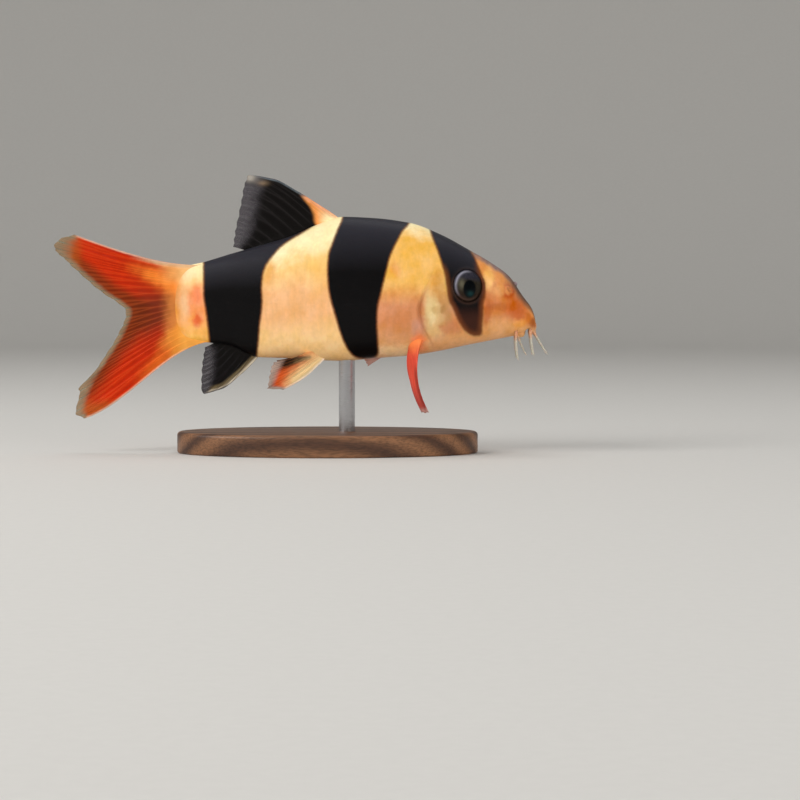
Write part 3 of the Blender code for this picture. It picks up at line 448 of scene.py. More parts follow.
def smooth_values(at, values, where):
    """Cubic through the given values, with slopes that don't overshoot them."""
    at, values = np.asarray(at, float), np.asarray(values, float)
    values = values.reshape(len(at), -1)
    step = np.diff(at)[:, None]
    slope = np.diff(values, axis=0) / step
    bend = np.zeros_like(values)
    before, after = slope[:-1], slope[1:]
    same_way = before * after > 0
    total = np.where(same_way, before + after, 1.0)
    bend[1:-1] = np.where(same_way, 2 * before * after / total, 0.0)
    bend[0], bend[-1] = slope[0], slope[-1]
    where = np.clip(np.atleast_1d(np.asarray(where, float)), at[0], at[-1])
    k = np.clip(np.searchsorted(at, where, side="right") - 1, 0, len(at) - 2)
    h = step[k]
    t = (where - at[k])[:, None] / h
    return (
        values[k] * (1 + 2 * t) * (1 - t) ** 2
        + h * bend[k] * t * (1 - t) ** 2
        + values[k + 1] * t * t * (3 - 2 * t)
        + h * bend[k + 1] * t * t * (t - 1)
    )


def eased(value, start, end):
    """0 at start, 1 at end, and a smooth slope between."""
    t = np.clip((value - start) / (end - start), 0, 1)
    return t * t * (3 - 2 * t)


def curve_through(points, where):
    """Smooth single value through (place, value) pairs."""
    points = sorted(points)
    flat_where = np.asarray(where, float).ravel()
    made = smooth_values([p[0] for p in points], [p[1] for p in points], flat_where)
    return made[:, 0].reshape(np.shape(where))


def grid_faces(rows, columns, closed=False):
    """Quads between the points of a grid, its last column joined to its first where closed."""
    gaps = columns if closed else columns - 1
    i, j = np.meshgrid(np.arange(rows - 1), np.arange(gaps), indexing="ij")
    k = (j + 1) % columns
    this, after = i * columns, (i + 1) * columns
    quads = np.stack([this + j, this + k, after + k, after + j], axis=-1)
    return quads.reshape(-1, 4).tolist()


def fan(ring, middle):
    """Triangles from a ring of points to one point."""
    return [(ring[k], ring[(k + 1) % len(ring)], middle) for k in range(len(ring))]


def tube_faces(rows, sides):
    """Faces of a tube of rings that closes at each end in a point. Both points follow those of the rings."""
    count = rows * sides
    ends = fan(range(sides), count) + fan(range(count - sides, count), count + 1)
    return grid_faces(rows, sides, closed=True) + ends


def new_piece(name, points, faces, material, replaced=(), values=None, sharp_angle=None):
    """A smooth closed piece from points in millimetres, with values that its material reads at each point."""
    mesh = bpy.data.meshes.new(name)
    mesh.from_pydata((np.asarray(points) * MM).tolist(), [], faces)
    for key, numbers in (values or {}).items():
        layer = mesh.attributes.new(key, "FLOAT", "POINT")
        layer.data.foreach_set("value", np.ascontiguousarray(numbers, np.float32).ravel())
    shape = bmesh.new()
    shape.from_mesh(mesh)
    bmesh.ops.recalc_face_normals(shape, faces=shape.faces)
    shape.to_mesh(mesh)
    shape.free()
    mesh.shade_smooth()
    if sharp_angle:
        mesh.set_sharp_from_angle(angle=math.radians(sharp_angle))
    mesh.materials.append(material)
    piece = bpy.data.objects.new(name, mesh)
    bpy.context.scene.collection.objects.link(piece)
    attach(piece, "root")
    if replaced:
        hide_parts(*replaced)
    return piece


def add_node(tree, kind, inputs=None, stops=None, **settings):
    """Adds a node with its settings, a ramp's stops, and inputs given as values, sockets or other nodes."""
    node = tree.nodes.new(kind)
    for name, value in settings.items():
        setattr(node, name, value)
    for key, value in (inputs or {}).items():
        if isinstance(value, bpy.types.Node):
            value = next(output for output in value.outputs if output.enabled)
        if isinstance(value, bpy.types.NodeSocket):
            tree.links.new(value, node.inputs[key])
        else:
            node.inputs[key].default_value = value
    if stops:
        marks = node.color_ramp.elements
        for k, (place, colour) in enumerate(stops):
            mark = marks[k] if k < 2 else marks.new(place)
            mark.position = place
            mark.color = (*colour, 1)
    return node


def new_material(name, **shader_values):
    """A material with one Principled shader, its fixed values set on the shader's own sockets."""
    material = bpy.data.materials.new(name)
    material.use_nodes = True
    tree = material.node_tree
    shader = tree.nodes["Principled BSDF"]
    for key, value in shader_values.items():
        shader.inputs[key.replace("_", " ")].default_value = value
    return material, tree, shader


def body_points(places, sides):
    """Rings of points round the body at places along it. Gives also how high each point lies, from 0 at the
    belly to 1 at the back, and how far aside, from -1 to 1."""
    stations = np.array([(*top, *bottom, width, level) for top, bottom, width, level in STATIONS.values()])
    middle = (stations[:, 0:2] + stations[:, 2:4]) / 2
    along = np.concatenate([[0], np.cumsum(np.linalg.norm(np.diff(middle, axis=0), axis=1))])
    values = smooth_values(along, stations, places(along))
    top_x, top_z, low_x, low_z, width, level = (values[:, k : k + 1] for k in range(6))
    turn = 2 * np.pi * np.arange(sides)[None, :] / sides
    up, out = np.cos(turn), np.sin(turn)
    power = np.where(up >= 0, BACK_POWER, BELLY_POWER)
    rise = np.sign(up) * np.abs(up) ** (2 / power)
    share = level + rise * np.where(up >= 0, 1 - level, level)
    aside = -width * np.sign(out) * np.abs(out) ** (2 / power)
    points = np.stack([low_x + (top_x - low_x) * share, aside, low_z + (top_z - low_z) * share], axis=-1)
    return points, share, out


def ring_places(along):
    """Places of the rings, closer together over the head."""
    breast = along[list(STATIONS).index("breast")]
    trunk = breast * np.linspace(0, 1, TRUNK_RINGS + 1)
    head = breast + (along[-1] - breast) * (1 - (1 - np.linspace(0, 1, HEAD_RINGS + 1)) ** HEAD_CROWDING)
    return np.concatenate([trunk, head[1:]])


def grid_normals(points):
    """Outward normals of a grid that is closed round the body."""
    ahead = np.gradient(points, axis=0)
    around = np.roll(points, -1, axis=1) - np.roll(points, 1, axis=1)
    normal = np.cross(ahead, around)
    normal /= np.maximum(np.linalg.norm(normal, axis=-1, keepdims=True), 1e-9)
    centre = points.mean(axis=1, keepdims=True)
    inward = np.sum(normal * (points - centre), axis=-1, keepdims=True) < 0
    return np.where(inward, -normal, normal)


def gill_edge(z):
    """X of the gill cover's rear edge at a height."""
    return GILL_REAR_X + GILL_SWEEP * (1 - np.exp(-(((z - GILL_Z) / GILL_HALF_HEIGHT) ** 2)))


def gill_relief(x, z, step):
    """The gill cover's swell in front of its rear edge, and the groove behind it."""
    height = np.exp(-(((z - GILL_Z) / GILL_HALF_HEIGHT) ** 2))
    ahead = x - gill_edge(z)
    fading = np.clip(1 - np.maximum(ahead, 0) / GILL_LENGTH, 0, 1) ** 1.5
    swell = step * height * fading * eased(ahead, -0.35, 0.12)
    depth, place, width = GILL_GROOVE
    groove = depth * height**2 * np.exp(-(((ahead - place) / width) ** 2))
    return swell - groove


def gill_groove_shade(x, z):
    """How dark the painted shade in the groove behind the gill cover is, darkest in its upper half."""
    height = np.exp(-(((z - GILL_GROOVE_SHADE_Z) / GILL_GROOVE_SHADE_HALF_HEIGHT) ** 2))
    strength, place, width = GILL_GROOVE_SHADE
    return strength * height * np.exp(-(((x - gill_edge(z) - place) / width) ** 2))


def eye_frame(points, normals, side):
    """Middle of an eye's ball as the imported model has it, and its forward, upward and outward directions."""
    low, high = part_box("eye_right" if side < 0 else "eye_left")
    middle = np.array((low + high) / 2) / MM
    far = np.linalg.norm(points - middle, axis=-1) + np.where(points[..., 1] * side > 0, 0, OTHER_SIDE)
    nearest = np.argsort(far.ravel())[:EYE_SKIN_POINTS]
    outward = normals.reshape(-1, 3)[nearest].mean(axis=0)
    outward /= np.linalg.norm(outward)
    forward = np.array((1.0, 0.0, 0.0)) - outward * outward[0]
    forward /= np.linalg.norm(forward)
    upward = np.cross(outward, forward)
    return middle, forward, upward * np.sign(upward[2]), outward


def band_depth(x, z):
    """How far inside the nearest dark band's edge each point lies, below 0 outside the bands."""
    blend = 0.35
    deepest = np.full(np.shape(x), -50.0)
    for rear, front, floor in BANDS.values():
        depths = []
        for edge, way in ((rear, 1), (front, -1)):
            line = [(pz, px) for px, pz in edge]
            at = curve_through(line, z)
            lean = (curve_through(line, z + 0.2) - curve_through(line, z - 0.2)) / 0.4
            depths.append(way * (x - at) / np.sqrt(1 + lean**2))
        depths.append(z - floor)
        near = np.stack(depths)
        soft = -blend * np.log(np.exp(-np.clip(near, -12, 12) / blend).sum(axis=0))
        deepest = np.maximum(deepest, soft)
    return deepest


def spot(points, x, z, side):
    """The skin's point at a place seen from one side."""
    off = (points[..., 0] - x) ** 2 + (points[..., 2] - z) ** 2
    off = off + np.where(points[..., 1] * side > 0, 0, OTHER_SIDE)
    k = np.unravel_index(np.argmin(off), off.shape)
    return points[k]


def shape_eyes(points, normals, rim_height):
    """Presses a socket into the skin for each eye and raises a fold round it. Gives how far each point is on
    the fold."""
    on_fold = np.zeros(points.shape[:2])
    for side in (-1, 1):
        middle, forward, upward, outward = eye_frame(points, normals, side)
        offset = points - middle
        long, tall, out = (np.sum(offset * axis, axis=-1) for axis in (forward, upward, outward))
        reach = np.sqrt((long / EYE_LONG) ** 2 + (tall / EYE_TALL) ** 2)
        here = out > -2.5
        fold = rim_height * np.exp(-(((reach - FOLD_PLACE) / FOLD_WIDTH) ** 2))
        socket = SOCKET_DEPTH * eased(reach, *SOCKET_WALL)
        points = points + np.where(here, fold, 0)[..., None] * normals
        points = points - np.where(here, socket, 0)[..., None] * outward
        seen = np.exp(-(((reach - 1.05) / 0.08) ** 2)) * (1 - 0.7 * eased(tall, 0.9, 1.9))
        on_fold = np.maximum(on_fold, np.where(here, seen, 0))
    return points, on_fold


def shape_nostrils(points, normals):
    """Raises a ring with a pit in it and a small flap beside it on each side. Gives the painted shade in the
    pit and how far each point is on the flap."""
    pit_shade, on_flap = np.zeros(points.shape[:2]), np.zeros(points.shape[:2])
    for side in (-1, 1):
        place, flap = spot(points, *NOSTRIL_PLACE, side), spot(points, *FLAP_PLACE, side)
        away = np.linalg.norm(points - place, axis=-1)
        ring = NOSTRIL_RING_HEIGHT * np.exp(-(((away - NOSTRIL_RADIUS) / NOSTRIL_RING_WIDTH) ** 2))
        pit = np.exp(-((away / (NOSTRIL_RADIUS * 0.62)) ** 2))
        tab = FLAP_HEIGHT * np.exp(-((np.linalg.norm(points - flap, axis=-1) / FLAP_RADIUS) ** 4))
        points = points + (ring - NOSTRIL_PIT_DEPTH * pit + tab)[..., None] * normals
        pit_shade = np.maximum(pit_shade, NOSTRIL_SHADE * pit**2)
        on_flap = np.maximum(on_flap, tab / FLAP_HEIGHT)
    return points, pit_shade, on_flap


def shape_mouth(points, normals, lip_height):
    """Raises the lips under the snout and sinks the mouth between them. Gives how far each point is on a lip,
    and the painted shade in the mouth's slit."""
    x, y = points[..., 0], points[..., 1]
    under = eased(-normals[..., 2], 0.05, 0.45)
    long, wide = (x - MOUTH_X) / UPPER_LIP_REACH, y / UPPER_LIP_WIDTH
    turn = np.abs(np.arctan2(wide, long))
    off = np.abs(np.hypot(long, wide) - 1) * (UPPER_LIP_REACH + UPPER_LIP_WIDTH) / 2
    upper = eased(turn, math.radians(112), math.radians(48)) * np.exp(-((off / 0.46) ** 2))
    long = (x - MOUTH_X + LOWER_LIP_BACK) / LOWER_LIP_LOBE[0]
    wide = (np.abs(y) - LOWER_LIP_ASIDE) / LOWER_LIP_LOBE[1]
    lower = np.clip(1 - long**2 - wide**2, 0, 1) ** 0.6
    slit = np.exp(-(((x - MOUTH_OPENING_X) / MOUTH_SLIT[0]) ** 2 + (y / MOUTH_SLIT[1]) ** 4) ** 1.5)
    rise = under * (lip_height * upper + 0.5 * lower - 1.2 * slit * (1 - 0.7 * lower))
    points = points + rise[..., None] * normals
    return points, under * np.clip(upper + lower, 0, 1), under * slit * (1 - lower)


def skin_material(skin):
    """Fish skin with fine sunken scales under a film of mucus: satin, softly blotched, with a wet coat over
    it."""
    material, tree, shader = new_material(
        "mucus_coated_skin",
        Specular_IOR_Level=0.09,
        Coat_Weight=0.06,
        Coat_Roughness=0.22,
        Coat_IOR=1.36,
        Subsurface_Weight=0.06,
        Subsurface_Scale=0.0012,
    )
    place = add_node(tree, "ShaderNodeTexCoord").outputs["Object"]
    part = add_node(tree, "ShaderNodeSeparateXYZ", {0: place})
    x, z = part.outputs["X"], part.outputs["Z"]
    keys = ("height", "band", "tail_end", "groove_shade", "lip", "fold", "flap", "hollow_shade")
    share = {key: add_node(tree, "ShaderNodeAttribute", attribute_name=key).outputs["Fac"] for key in keys}
    height = share["height"]

    # Soft blotches, fine grain, wandering patches, and upright streaks where muscle shows through.
    upright = add_node(tree, "ShaderNodeVectorMath", {0: place, 1: (1.0, 1.0, 0.22)}, operation="MULTIPLY")
    noise = {}
    for key, vector, size, detail in (
        ("blotch", place, skin.blotch_size, 4.0),
        ("grain", place, 0.55 * MM, 2.0),
        ("wander", place, 1.8 * MM, 3.0),
        ("streak", upright, 0.75 * MM, 2.0),
    ):
        inputs = {"Vector": vector, "Scale": 1 / size, "Detail": detail}
        noise[key] = add_node(tree, "ShaderNodeTexNoise", inputs)
    blotch, grain, streaks = (noise[key].outputs["Fac"] for key in ("blotch", "grain", "streak"))
    sway = add_node(tree, "ShaderNodeMath", {0: blotch, 1: 0.18, 2: -0.09}, operation="MULTIPLY_ADD")
    level = add_node(tree, "ShaderNodeMath", {0: height, 1: sway}, operation="ADD")
    ragged = add_node(tree, "ShaderNodeMath", {0: grain, 1: 0.2, 2: -0.1}, operation="MULTIPLY_ADD")
    depth = add_node(tree, "ShaderNodeMath", {0: share["band"], 1: ragged}, operation="ADD")

    # Shares that rise smoothly from one value of their source to another.
    for key, source, start, end, most in (
        ("shoulder", x, 9.0 * MM, 12.0 * MM, 1.0),
        ("snout", x, 30.5 * MM, 32.5 * MM, 1.0),
        ("stalk", x, -11.0 * MM, -14.0 * MM, 1.0),
        ("front_of_snout", x, 36.5 * MM, 40.5 * MM, 1.0),
        ("top_of_snout", level, 0.72, 0.98, 0.92),
        ("beside_eye", z, 36.0 * MM, 33.0 * MM, 1.0),
        ("below_eye", z, 28.0 * MM, 24.5 * MM, 1.0),
        ("fringe", depth, -0.7, 0.2, 0.6),
        ("edge", depth, -0.5, 0.05, 0.9),
        ("sharp", depth, -0.2, 0.3, 1.0),
        ("slow", depth, -0.25, 1.0, 1.0),
    ):
        share[key] = add_node(
            tree,
            "ShaderNodeMapRange",
            {"Value": source, "From Min": start, "From Max": end, "To Max": most},
            interpolation_type="SMOOTHSTEP",
        )

    # Each stretch of gold between the bands has its own colours from belly to back; the trunk's belly is
    # painted lighter to stand in for light from below.
    ramps = {
        "trunk": ((0.0, skin.belly), (0.18, skin.belly), (0.34, skin.flank), (0.56, skin.flank),
                  (0.74, skin.upper_flank), (0.88, skin.cream), (1.0, skin.cream)),
        "shoulder": ((0.0, skin.throat), (0.12, skin.throat), (0.27, skin.breast), (0.39, skin.breast),
                     (0.56, skin.shoulder), (0.86, skin.shoulder), (1.0, skin.cream)),
        # The snout's top edge takes the painted sheen of the brow.
        "snout": ((0.0, skin.throat), (0.18, skin.throat), (0.42, skin.cheek), (0.64, skin.cheek),
                  (0.80, skin.forehead), (0.91, skin.forehead), (0.99, skin.brow)),
        "stalk": ((0.0, skin.stalk_low), (0.16, skin.stalk_low), (0.38, skin.stalk_red),
                  (0.62, skin.stalk_red), (0.80, skin.stalk), (0.92, skin.cream), (1.0, skin.cream)),
    }
    zones = {name: add_node(tree, "ShaderNodeValToRGB", {0: level}, stops) for name, stops in ramps.items()}
    gold = zones["trunk"]
    for name in ("shoulder", "snout", "stalk"):
        gold = add_node(tree, "ShaderNodeMix", {0: share[name], 6: gold, 7: zones[name]}, data_type="RGBA")

    # The patches wander a little, so none keeps an even outline.
    reach = 1.8 * MM
    moved = add_node(
        tree,
        "ShaderNodeVectorMath",
        {0: noise["wander"].outputs["Color"], 1: (reach,) * 3, 2: place},
        operation="MULTIPLY_ADD",
    )
    for px, pz, long, tall, strength, colour in SKIN_PATCHES.values():
        middle = ((px + 0.9) * MM, 0, (pz + 0.9) * MM)
        size = (1 / long / MM, 0, 1 / tall / MM)
        off = add_node(tree, "ShaderNodeVectorMath", {0: moved, 1: middle}, operation="SUBTRACT")
        scaled = add_node(tree, "ShaderNodeVectorMath", {0: off, 1: size}, operation="MULTIPLY")
        far = add_node(tree, "ShaderNodeVectorMath", {0: scaled}, operation="LENGTH").outputs["Value"]
        patch = add_node(
            tree,
            "ShaderNodeMapRange",
            {"Value": far, "From Min": 1.45, "From Max": 0.35, "To Max": strength},
            interpolation_type="SMOOTHSTEP",
        )
        paint = (*to_linear(colour), 1)
        gold = add_node(tree, "ShaderNodeMix", {0: patch, 6: gold, 7: paint}, data_type="RGBA")

    # The top of the snout is dusky towards its front.
    dusky = {0: share["front_of_snout"], 1: share["top_of_snout"]}
    dusky = add_node(tree, "ShaderNodeMath", dusky, operation="MULTIPLY")
    gold = add_node(tree, "ShaderNodeMix", {0: dusky, 6: gold, 7: (*skin.muzzle, 1)}, data_type="RGBA")

    # Towards the caudal fin the skin takes the colours of the fin's root.
    low, high = to_linear("#f09c40"), to_linear("#f1a057")
    stops = ((0.0, low), (0.2, low), (0.4, skin.fin_root), (0.62, skin.fin_root), (0.82, high), (1.0, high))
    fin_root = add_node(tree, "ShaderNodeValToRGB", {0: height}, stops)
    gold = add_node(tree, "ShaderNodeMix", {0: share["tail_end"], 6: gold, 7: fin_root}, data_type="RGBA")

    # Mottling in light and dark, with a fuller colour where the blotches are dark.
    value = 1.0
    for source, low, high in ((blotch, 0.95, 1.04), (streaks, 0.94, 1.04), (grain, 0.97, 1.03)):
        inputs = {"Value": source, "From Min": 0.3, "From Max": 0.7, "To Min": low, "To Max": high}
        mottling = add_node(tree, "ShaderNodeMapRange", inputs)
        value = add_node(tree, "ShaderNodeMath", {0: value, 1: mottling}, operation="MULTIPLY")
    inputs = {"Value": blotch, "From Min": 0.35, "From Max": 0.65, "To Min": 1.06, "To Max": 0.95}
    warmth = add_node(tree, "ShaderNodeMapRange", inputs)
    gold = add_node(tree, "ShaderNodeHueSaturation", {"Color": gold, "Value": value, "Saturation": warmth})

    # Painted shade, brown, in the groove behind the gill cover.
    brown = (*to_linear("#8a5430"), 1)
    gold = add_node(tree, "ShaderNodeMix", {0: share["groove_shade"], 6: gold, 7: brown}, data_type="RGBA")

    # On the head a dark red fringe lies along the band, beside the eye and below it.
    on_head = add_node(tree, "ShaderNodeMath", {0: x, 1: 22.5 * MM}, operation="GREATER_THAN")
    beside_eye, below_eye = (
        add_node(tree, "ShaderNodeMath", {0: share[key], 1: on_head}, operation="MULTIPLY")
        for key in ("beside_eye", "below_eye")
    )
    fringe = add_node(tree, "ShaderNodeMath", {0: share["fringe"], 1: beside_eye}, operation="MULTIPLY")
    for strength, paint in ((fringe, skin.band_fringe), (share["edge"], skin.band_edge)):
        gold = add_node(tree, "ShaderNodeMix", {0: strength, 6: gold, 7: (*paint, 1)}, data_type="RGBA")

    # Beside and below the eye the dark comes in over more than a millimetre, elsewhere over half of one.
    dark = {0: beside_eye, 2: share["sharp"], 3: share["slow"]}
    dark = add_node(tree, "ShaderNodeMix", dark, data_type="FLOAT")
    # Towards the back the bands lighten into a painted bluish sheen.
    stops = ((0.0, skin.band), (0.62, skin.band), (0.93, skin.band_back_sheen), (1.0, skin.band_back_sheen))
    band = add_node(tree, "ShaderNodeValToRGB", {0: height}, stops)
    band = add_node(tree, "ShaderNodeMix", {0: below_eye, 6: band, 7: (*skin.band_low, 1)}, data_type="RGBA")
    colour = add_node(tree, "ShaderNodeMix", {0: dark, 6: gold, 7: band}, data_type="RGBA")

    # Lips, the fold round the eye and the nostril flap in their own colours; painted shade in the nostril pits
    # and the mouth's slit.
    for key, strength, paint in (
        ("lip", 0.75, skin.lips),
        ("fold", 0.3, to_linear("#5a3d30")),
        ("flap", 0.85, to_linear("#a3949a")),
        ("hollow_shade", 1.0, to_linear("#1f0d08")),
    ):
        strength = add_node(tree, "ShaderNodeMath", {0: share[key], 1: strength}, operation="MULTIPLY")
        colour = add_node(tree, "ShaderNodeMix", {0: strength, 6: colour, 7: (*paint, 1)}, data_type="RGBA")
    tree.links.new(colour.outputs[2], shader.inputs["Base Color"])
    rough = add_node(tree, "ShaderNodeMapRange", {"Value": grain, "To Min": 0.34, "To Max": 0.5})
    tree.links.new(rough.outputs[0], shader.inputs["Roughness"])

    # Scales, a little longer than they are high, and the line of pores along the side.
    stretched = add_node(tree, "ShaderNodeVectorMath", {0: place, 1: (1.0, 1.3, 1.3)}, operation="MULTIPLY")
    inputs = {"Vector": stretched, "Scale": 1 / skin.scale_size}
    scales = add_node(tree, "ShaderNodeTexVoronoi", inputs, feature="F1")
    inputs = {"Height": scales.outputs["Distance"], "Strength": 0.22, "Distance": 0.08 * MM}
    bumps = add_node(tree, "ShaderNodeBump", inputs)
    lateral = add_node(tree, "ShaderNodeMath", {0: z, 1: 27.75 * MM, 2: 0.1 * MM}, operation="COMPARE")
    behind = add_node(tree, "ShaderNodeMath", {0: x, 1: 22.0 * MM}, operation="LESS_THAN")
    lateral = add_node(tree, "ShaderNodeMath", {0: lateral, 1: behind}, operation="MULTIPLY")
    inputs = {"Height": lateral, "Strength": 0.4, "Distance": 0.05 * MM, "Normal": bumps}
    bumps = add_node(tree, "ShaderNodeBump", inputs, invert=True)
    tree.links.new(bumps.outputs[0], shader.inputs["Normal"])
    return material


class LOACH_OT_skin(Operator):
    """Makes the whole body as one skin, with its gill covers, eye sockets, nostrils and mouth"""

    bl_idname = "loach.skin"
    bl_label = "Make Skin"

    def execute(self, context):
        skin = context.scene.loach.skin
        points, height, out = body_points(ring_places, SKIN_SIDES)
        bare = points.copy()
        normals = grid_normals(bare)
        x, z = bare[..., 0], bare[..., 2]
        points[..., 1] -= gill_relief(x, z, skin.gill_step / MM) * out
        points, folds = shape_eyes(points, normals, skin.rim_height / MM)
        points, pit_shades, flaps = shape_nostrils(points, normals)
        points, lip, mouth = shape_mouth(points, normals, skin.lip_height / MM)

        # The front of the snout closes in a rounded end.
        last = points[-1]
        middle = last.mean(axis=0)
        ends = []
        for turn in np.linspace(0, np.pi / 2, SNOUT_RINGS + 1)[1:-1]:
            forward = np.array((SNOUT_ROUNDING * math.sin(turn), 0, 0))
            ends.append(middle + (last - middle) * math.cos(turn) + forward)
        extra = len(ends)
        points = np.concatenate([points, np.array(ends)])
        rows, sides = points.shape[:2]
        tips = [points[0].mean(axis=0), middle + np.array((SNOUT_ROUNDING, 0, 0))]

        def over_all(grid, at_tail=0.0, at_snout=0.0):
            """Values for every point of the piece, the added rings and tips among them."""
            grid = np.concatenate([grid, np.repeat(grid[-1:], extra, axis=0)])
            return np.concatenate([grid.ravel(), [at_tail, at_snout]])

        values = {
            "height": over_all(height, 0.5, 0.5),
            "band": over_all(band_depth(x, z), -5.0, -5.0),
            "lip": over_all(lip),
            # Painted shade in the groove behind the gill cover.
            "groove_shade": over_all(gill_groove_shade(x, z)),
            "tail_end": over_all(eased(np.abs(bare[..., 1]), 1.0, 0.5) * eased(x, -20.2, -23.2), 1.0),
            # Painted shade in the nostril pits and the mouth's slit.
            "hollow_shade": over_all(np.maximum(pit_shades, mouth)),
            "flap": over_all(flaps),
            "fold": over_all(folds),
        }
        new_piece(
            "skin",
            np.concatenate([points.reshape(-1, 3), tips]),
            tube_faces(rows, sides),
            skin_material(skin),
            ("head", "trunk", "tail_stalk"),
            values,
        )
        return {"FINISHED"}


def eye_material(eyes):
    """Glass eye painted from behind: a dark iris with a pale ring, whose arc at the upper left is partly a
    painted highlight, under one smooth clear surface.
    """
    material, tree, shader = new_material(
        "painted_glass_eye",
        Specular_IOR_Level=0.05,
        Roughness=0.35,
        Coat_Weight=0.12,
        Coat_Roughness=0.12,
        Coat_IOR=1.45,
    )
    keys = ("reach", "pupil", "crescent", "underline", "patch", "rise", "glint")
    share = {key: add_node(tree, "ShaderNodeAttribute", attribute_name=key).outputs["Fac"] for key in keys}
    place = add_node(tree, "ShaderNodeTexCoord").outputs["Object"]
    fleck = add_node(tree, "ShaderNodeTexNoise", {"Vector": place, "Scale": 1 / (0.45 * MM), "Detail": 3.0})
    stops = ((0.0, eyes.iris_low), (0.25, eyes.iris_low), (0.42, eyes.iris), (0.58, eyes.iris),
             (0.72, eyes.iris_top))
    iris = add_node(tree, "ShaderNodeValToRGB", {0: share["rise"]}, stops)
    inputs = {"Value": fleck.outputs["Fac"], "From Min": 0.3, "From Max": 0.7, "To Min": 0.7, "To Max": 1.25}
    value = add_node(tree, "ShaderNodeMapRange", inputs)
    iris = add_node(tree, "ShaderNodeHueSaturation", {"Color": iris, "Value": value})
    rim, black = (
        add_node(
            tree,
            "ShaderNodeMapRange",
            {"Value": share[key], "From Min": start, "From Max": end, "To Max": most},
            interpolation_type="SMOOTHSTEP",
        )
        for key, start, end, most in (("reach", 0.8, 1.0, 0.7), ("pupil", 1.2, 0.9, 1.0))
    )
    colour = add_node(tree, "ShaderNodeMix", {0: rim, 6: iris, 7: (*eyes.iris_low, 1)}, data_type="RGBA")
    # The ring's pale arc at the upper left is partly a painted highlight.
    for key, paint in (("patch", eyes.patch), ("underline", eyes.ring_low), ("crescent", eyes.ring)):
        inputs = {0: share[key], 6: colour, 7: (*paint, 1)}
        colour = add_node(tree, "ShaderNodeMix", inputs, data_type="RGBA")
    # Inside the pupil, a painted green reflection at its foot.
    inputs = {0: share["glint"], 6: (*eyes.pupil, 1), 7: (*eyes.glint, 1)}
    inside = add_node(tree, "ShaderNodeMix", inputs, data_type="RGBA")
    colour = add_node(tree, "ShaderNodeMix", {0: black, 6: colour, 7: inside}, data_type="RGBA")
    tree.links.new(colour.outputs[2], shader.inputs["Base Color"])
    return material


class LOACH_OT_eyes(Operator):
    """Makes both eyes as flattened balls in their sockets"""

    bl_idname = "loach.eyes"
    bl_label = "Make Eyes"

    def execute(self, context):
        material = eye_material(context.scene.loach.eyes)
        points, _, _ = body_points(ring_places, SKIN_SIDES)
        normals = grid_normals(points)
        lift = np.pi * (np.arange(1, EYE_RINGS) / EYE_RINGS)[:, None]
        turn = 2 * np.pi * np.arange(EYE_SIDES)[None, :] / EYE_SIDES
        long = EYE_LONG * np.sin(lift) * np.cos(turn)
        tall = EYE_TALL * np.sin(lift) * np.sin(turn)
        deep = EYE_DEEP * np.cos(lift) * np.ones_like(turn)
        deep = np.where(deep < 0, deep * EYE_BACK, deep)

        # The markings: a ring broken into a pale arc at the upper left, partly a painted highlight, and a dull
        # one, a patch, the pupil and its glint, a painted reflection.
        from_middle = np.hypot(long / EYE_LONG, tall / EYE_TALL)
        way = np.arctan2(tall / EYE_TALL, long / EYE_LONG)
        width = 0.052 + 0.035 * np.clip(np.cos(way - math.radians(140)), 0, 1)
        ring = np.exp(-(((from_middle - 0.85) / width) ** 2))
        crescent = ring * np.clip(-0.15 + 1.15 * np.cos(way - math.radians(150)), 0, 1) ** 1.2
        underline = 0.75 * ring * np.clip(0.1 + np.cos(way - math.radians(235)), 0, 1)
        patch = 0.85 * np.exp(-(((long + 1.35) / 0.5) ** 2 + ((tall - 0.15) / 0.85) ** 2))
        from_pupil = np.hypot((long - PUPIL_PLACE[0]) / PUPIL_LONG, (tall - PUPIL_PLACE[1]) / PUPIL_TALL)
        at_poles = math.hypot(PUPIL_PLACE[0] / PUPIL_LONG, PUPIL_PLACE[1] / PUPIL_TALL)
        foot = PUPIL_PLACE[1] - PUPIL_TALL * 0.62
        # The glint is a painted reflection.
        glint = np.exp(-(((long - PUPIL_PLACE[0] - 0.2) / 0.6) ** 2 + ((tall - foot) / 0.45) ** 2))
        masks = {
            "crescent": (crescent, 0.0),
            "underline": (underline, 0.0),
            "glint": (glint, 0.0),
            "patch": (patch, 0.0),
            "reach": (from_middle, 0.0),
            "pupil": (from_pupil, at_poles),
            "rise": (0.5 + 0.5 * tall / EYE_TALL, 0.5),
        }
        values = {key: np.append(mask.ravel(), (at_pole,) * 2) for key, (mask, at_pole) in masks.items()}
        for side, mark in ((-1, "right"), (1, "left")):
            middle, forward, upward, outward = eye_frame(points, normals, side)
            ball = middle + long[..., None] * forward + tall[..., None] * upward + deep[..., None] * outward
            poles = [middle + outward * EYE_DEEP, middle - outward * EYE_DEEP * EYE_BACK]
            new_piece(
                "eyeball_" + mark,
                np.concatenate([ball.reshape(-1, 3), poles]),
                tube_faces(EYE_RINGS - 1, EYE_SIDES),
                material,
                ("eye_" + mark,),
                values,
            )
        return {"FINISHED"}


def ray_distance(across, out):
    """How far a point lies from the nearest ray or branch of a ray, in gaps between rays."""
    near = np.abs((across + 0.5) % 1 - 0.5)
    for start, end, spread in RAY_FORKS:
        near = np.abs(near - spread * eased(out, start, end))
    return near


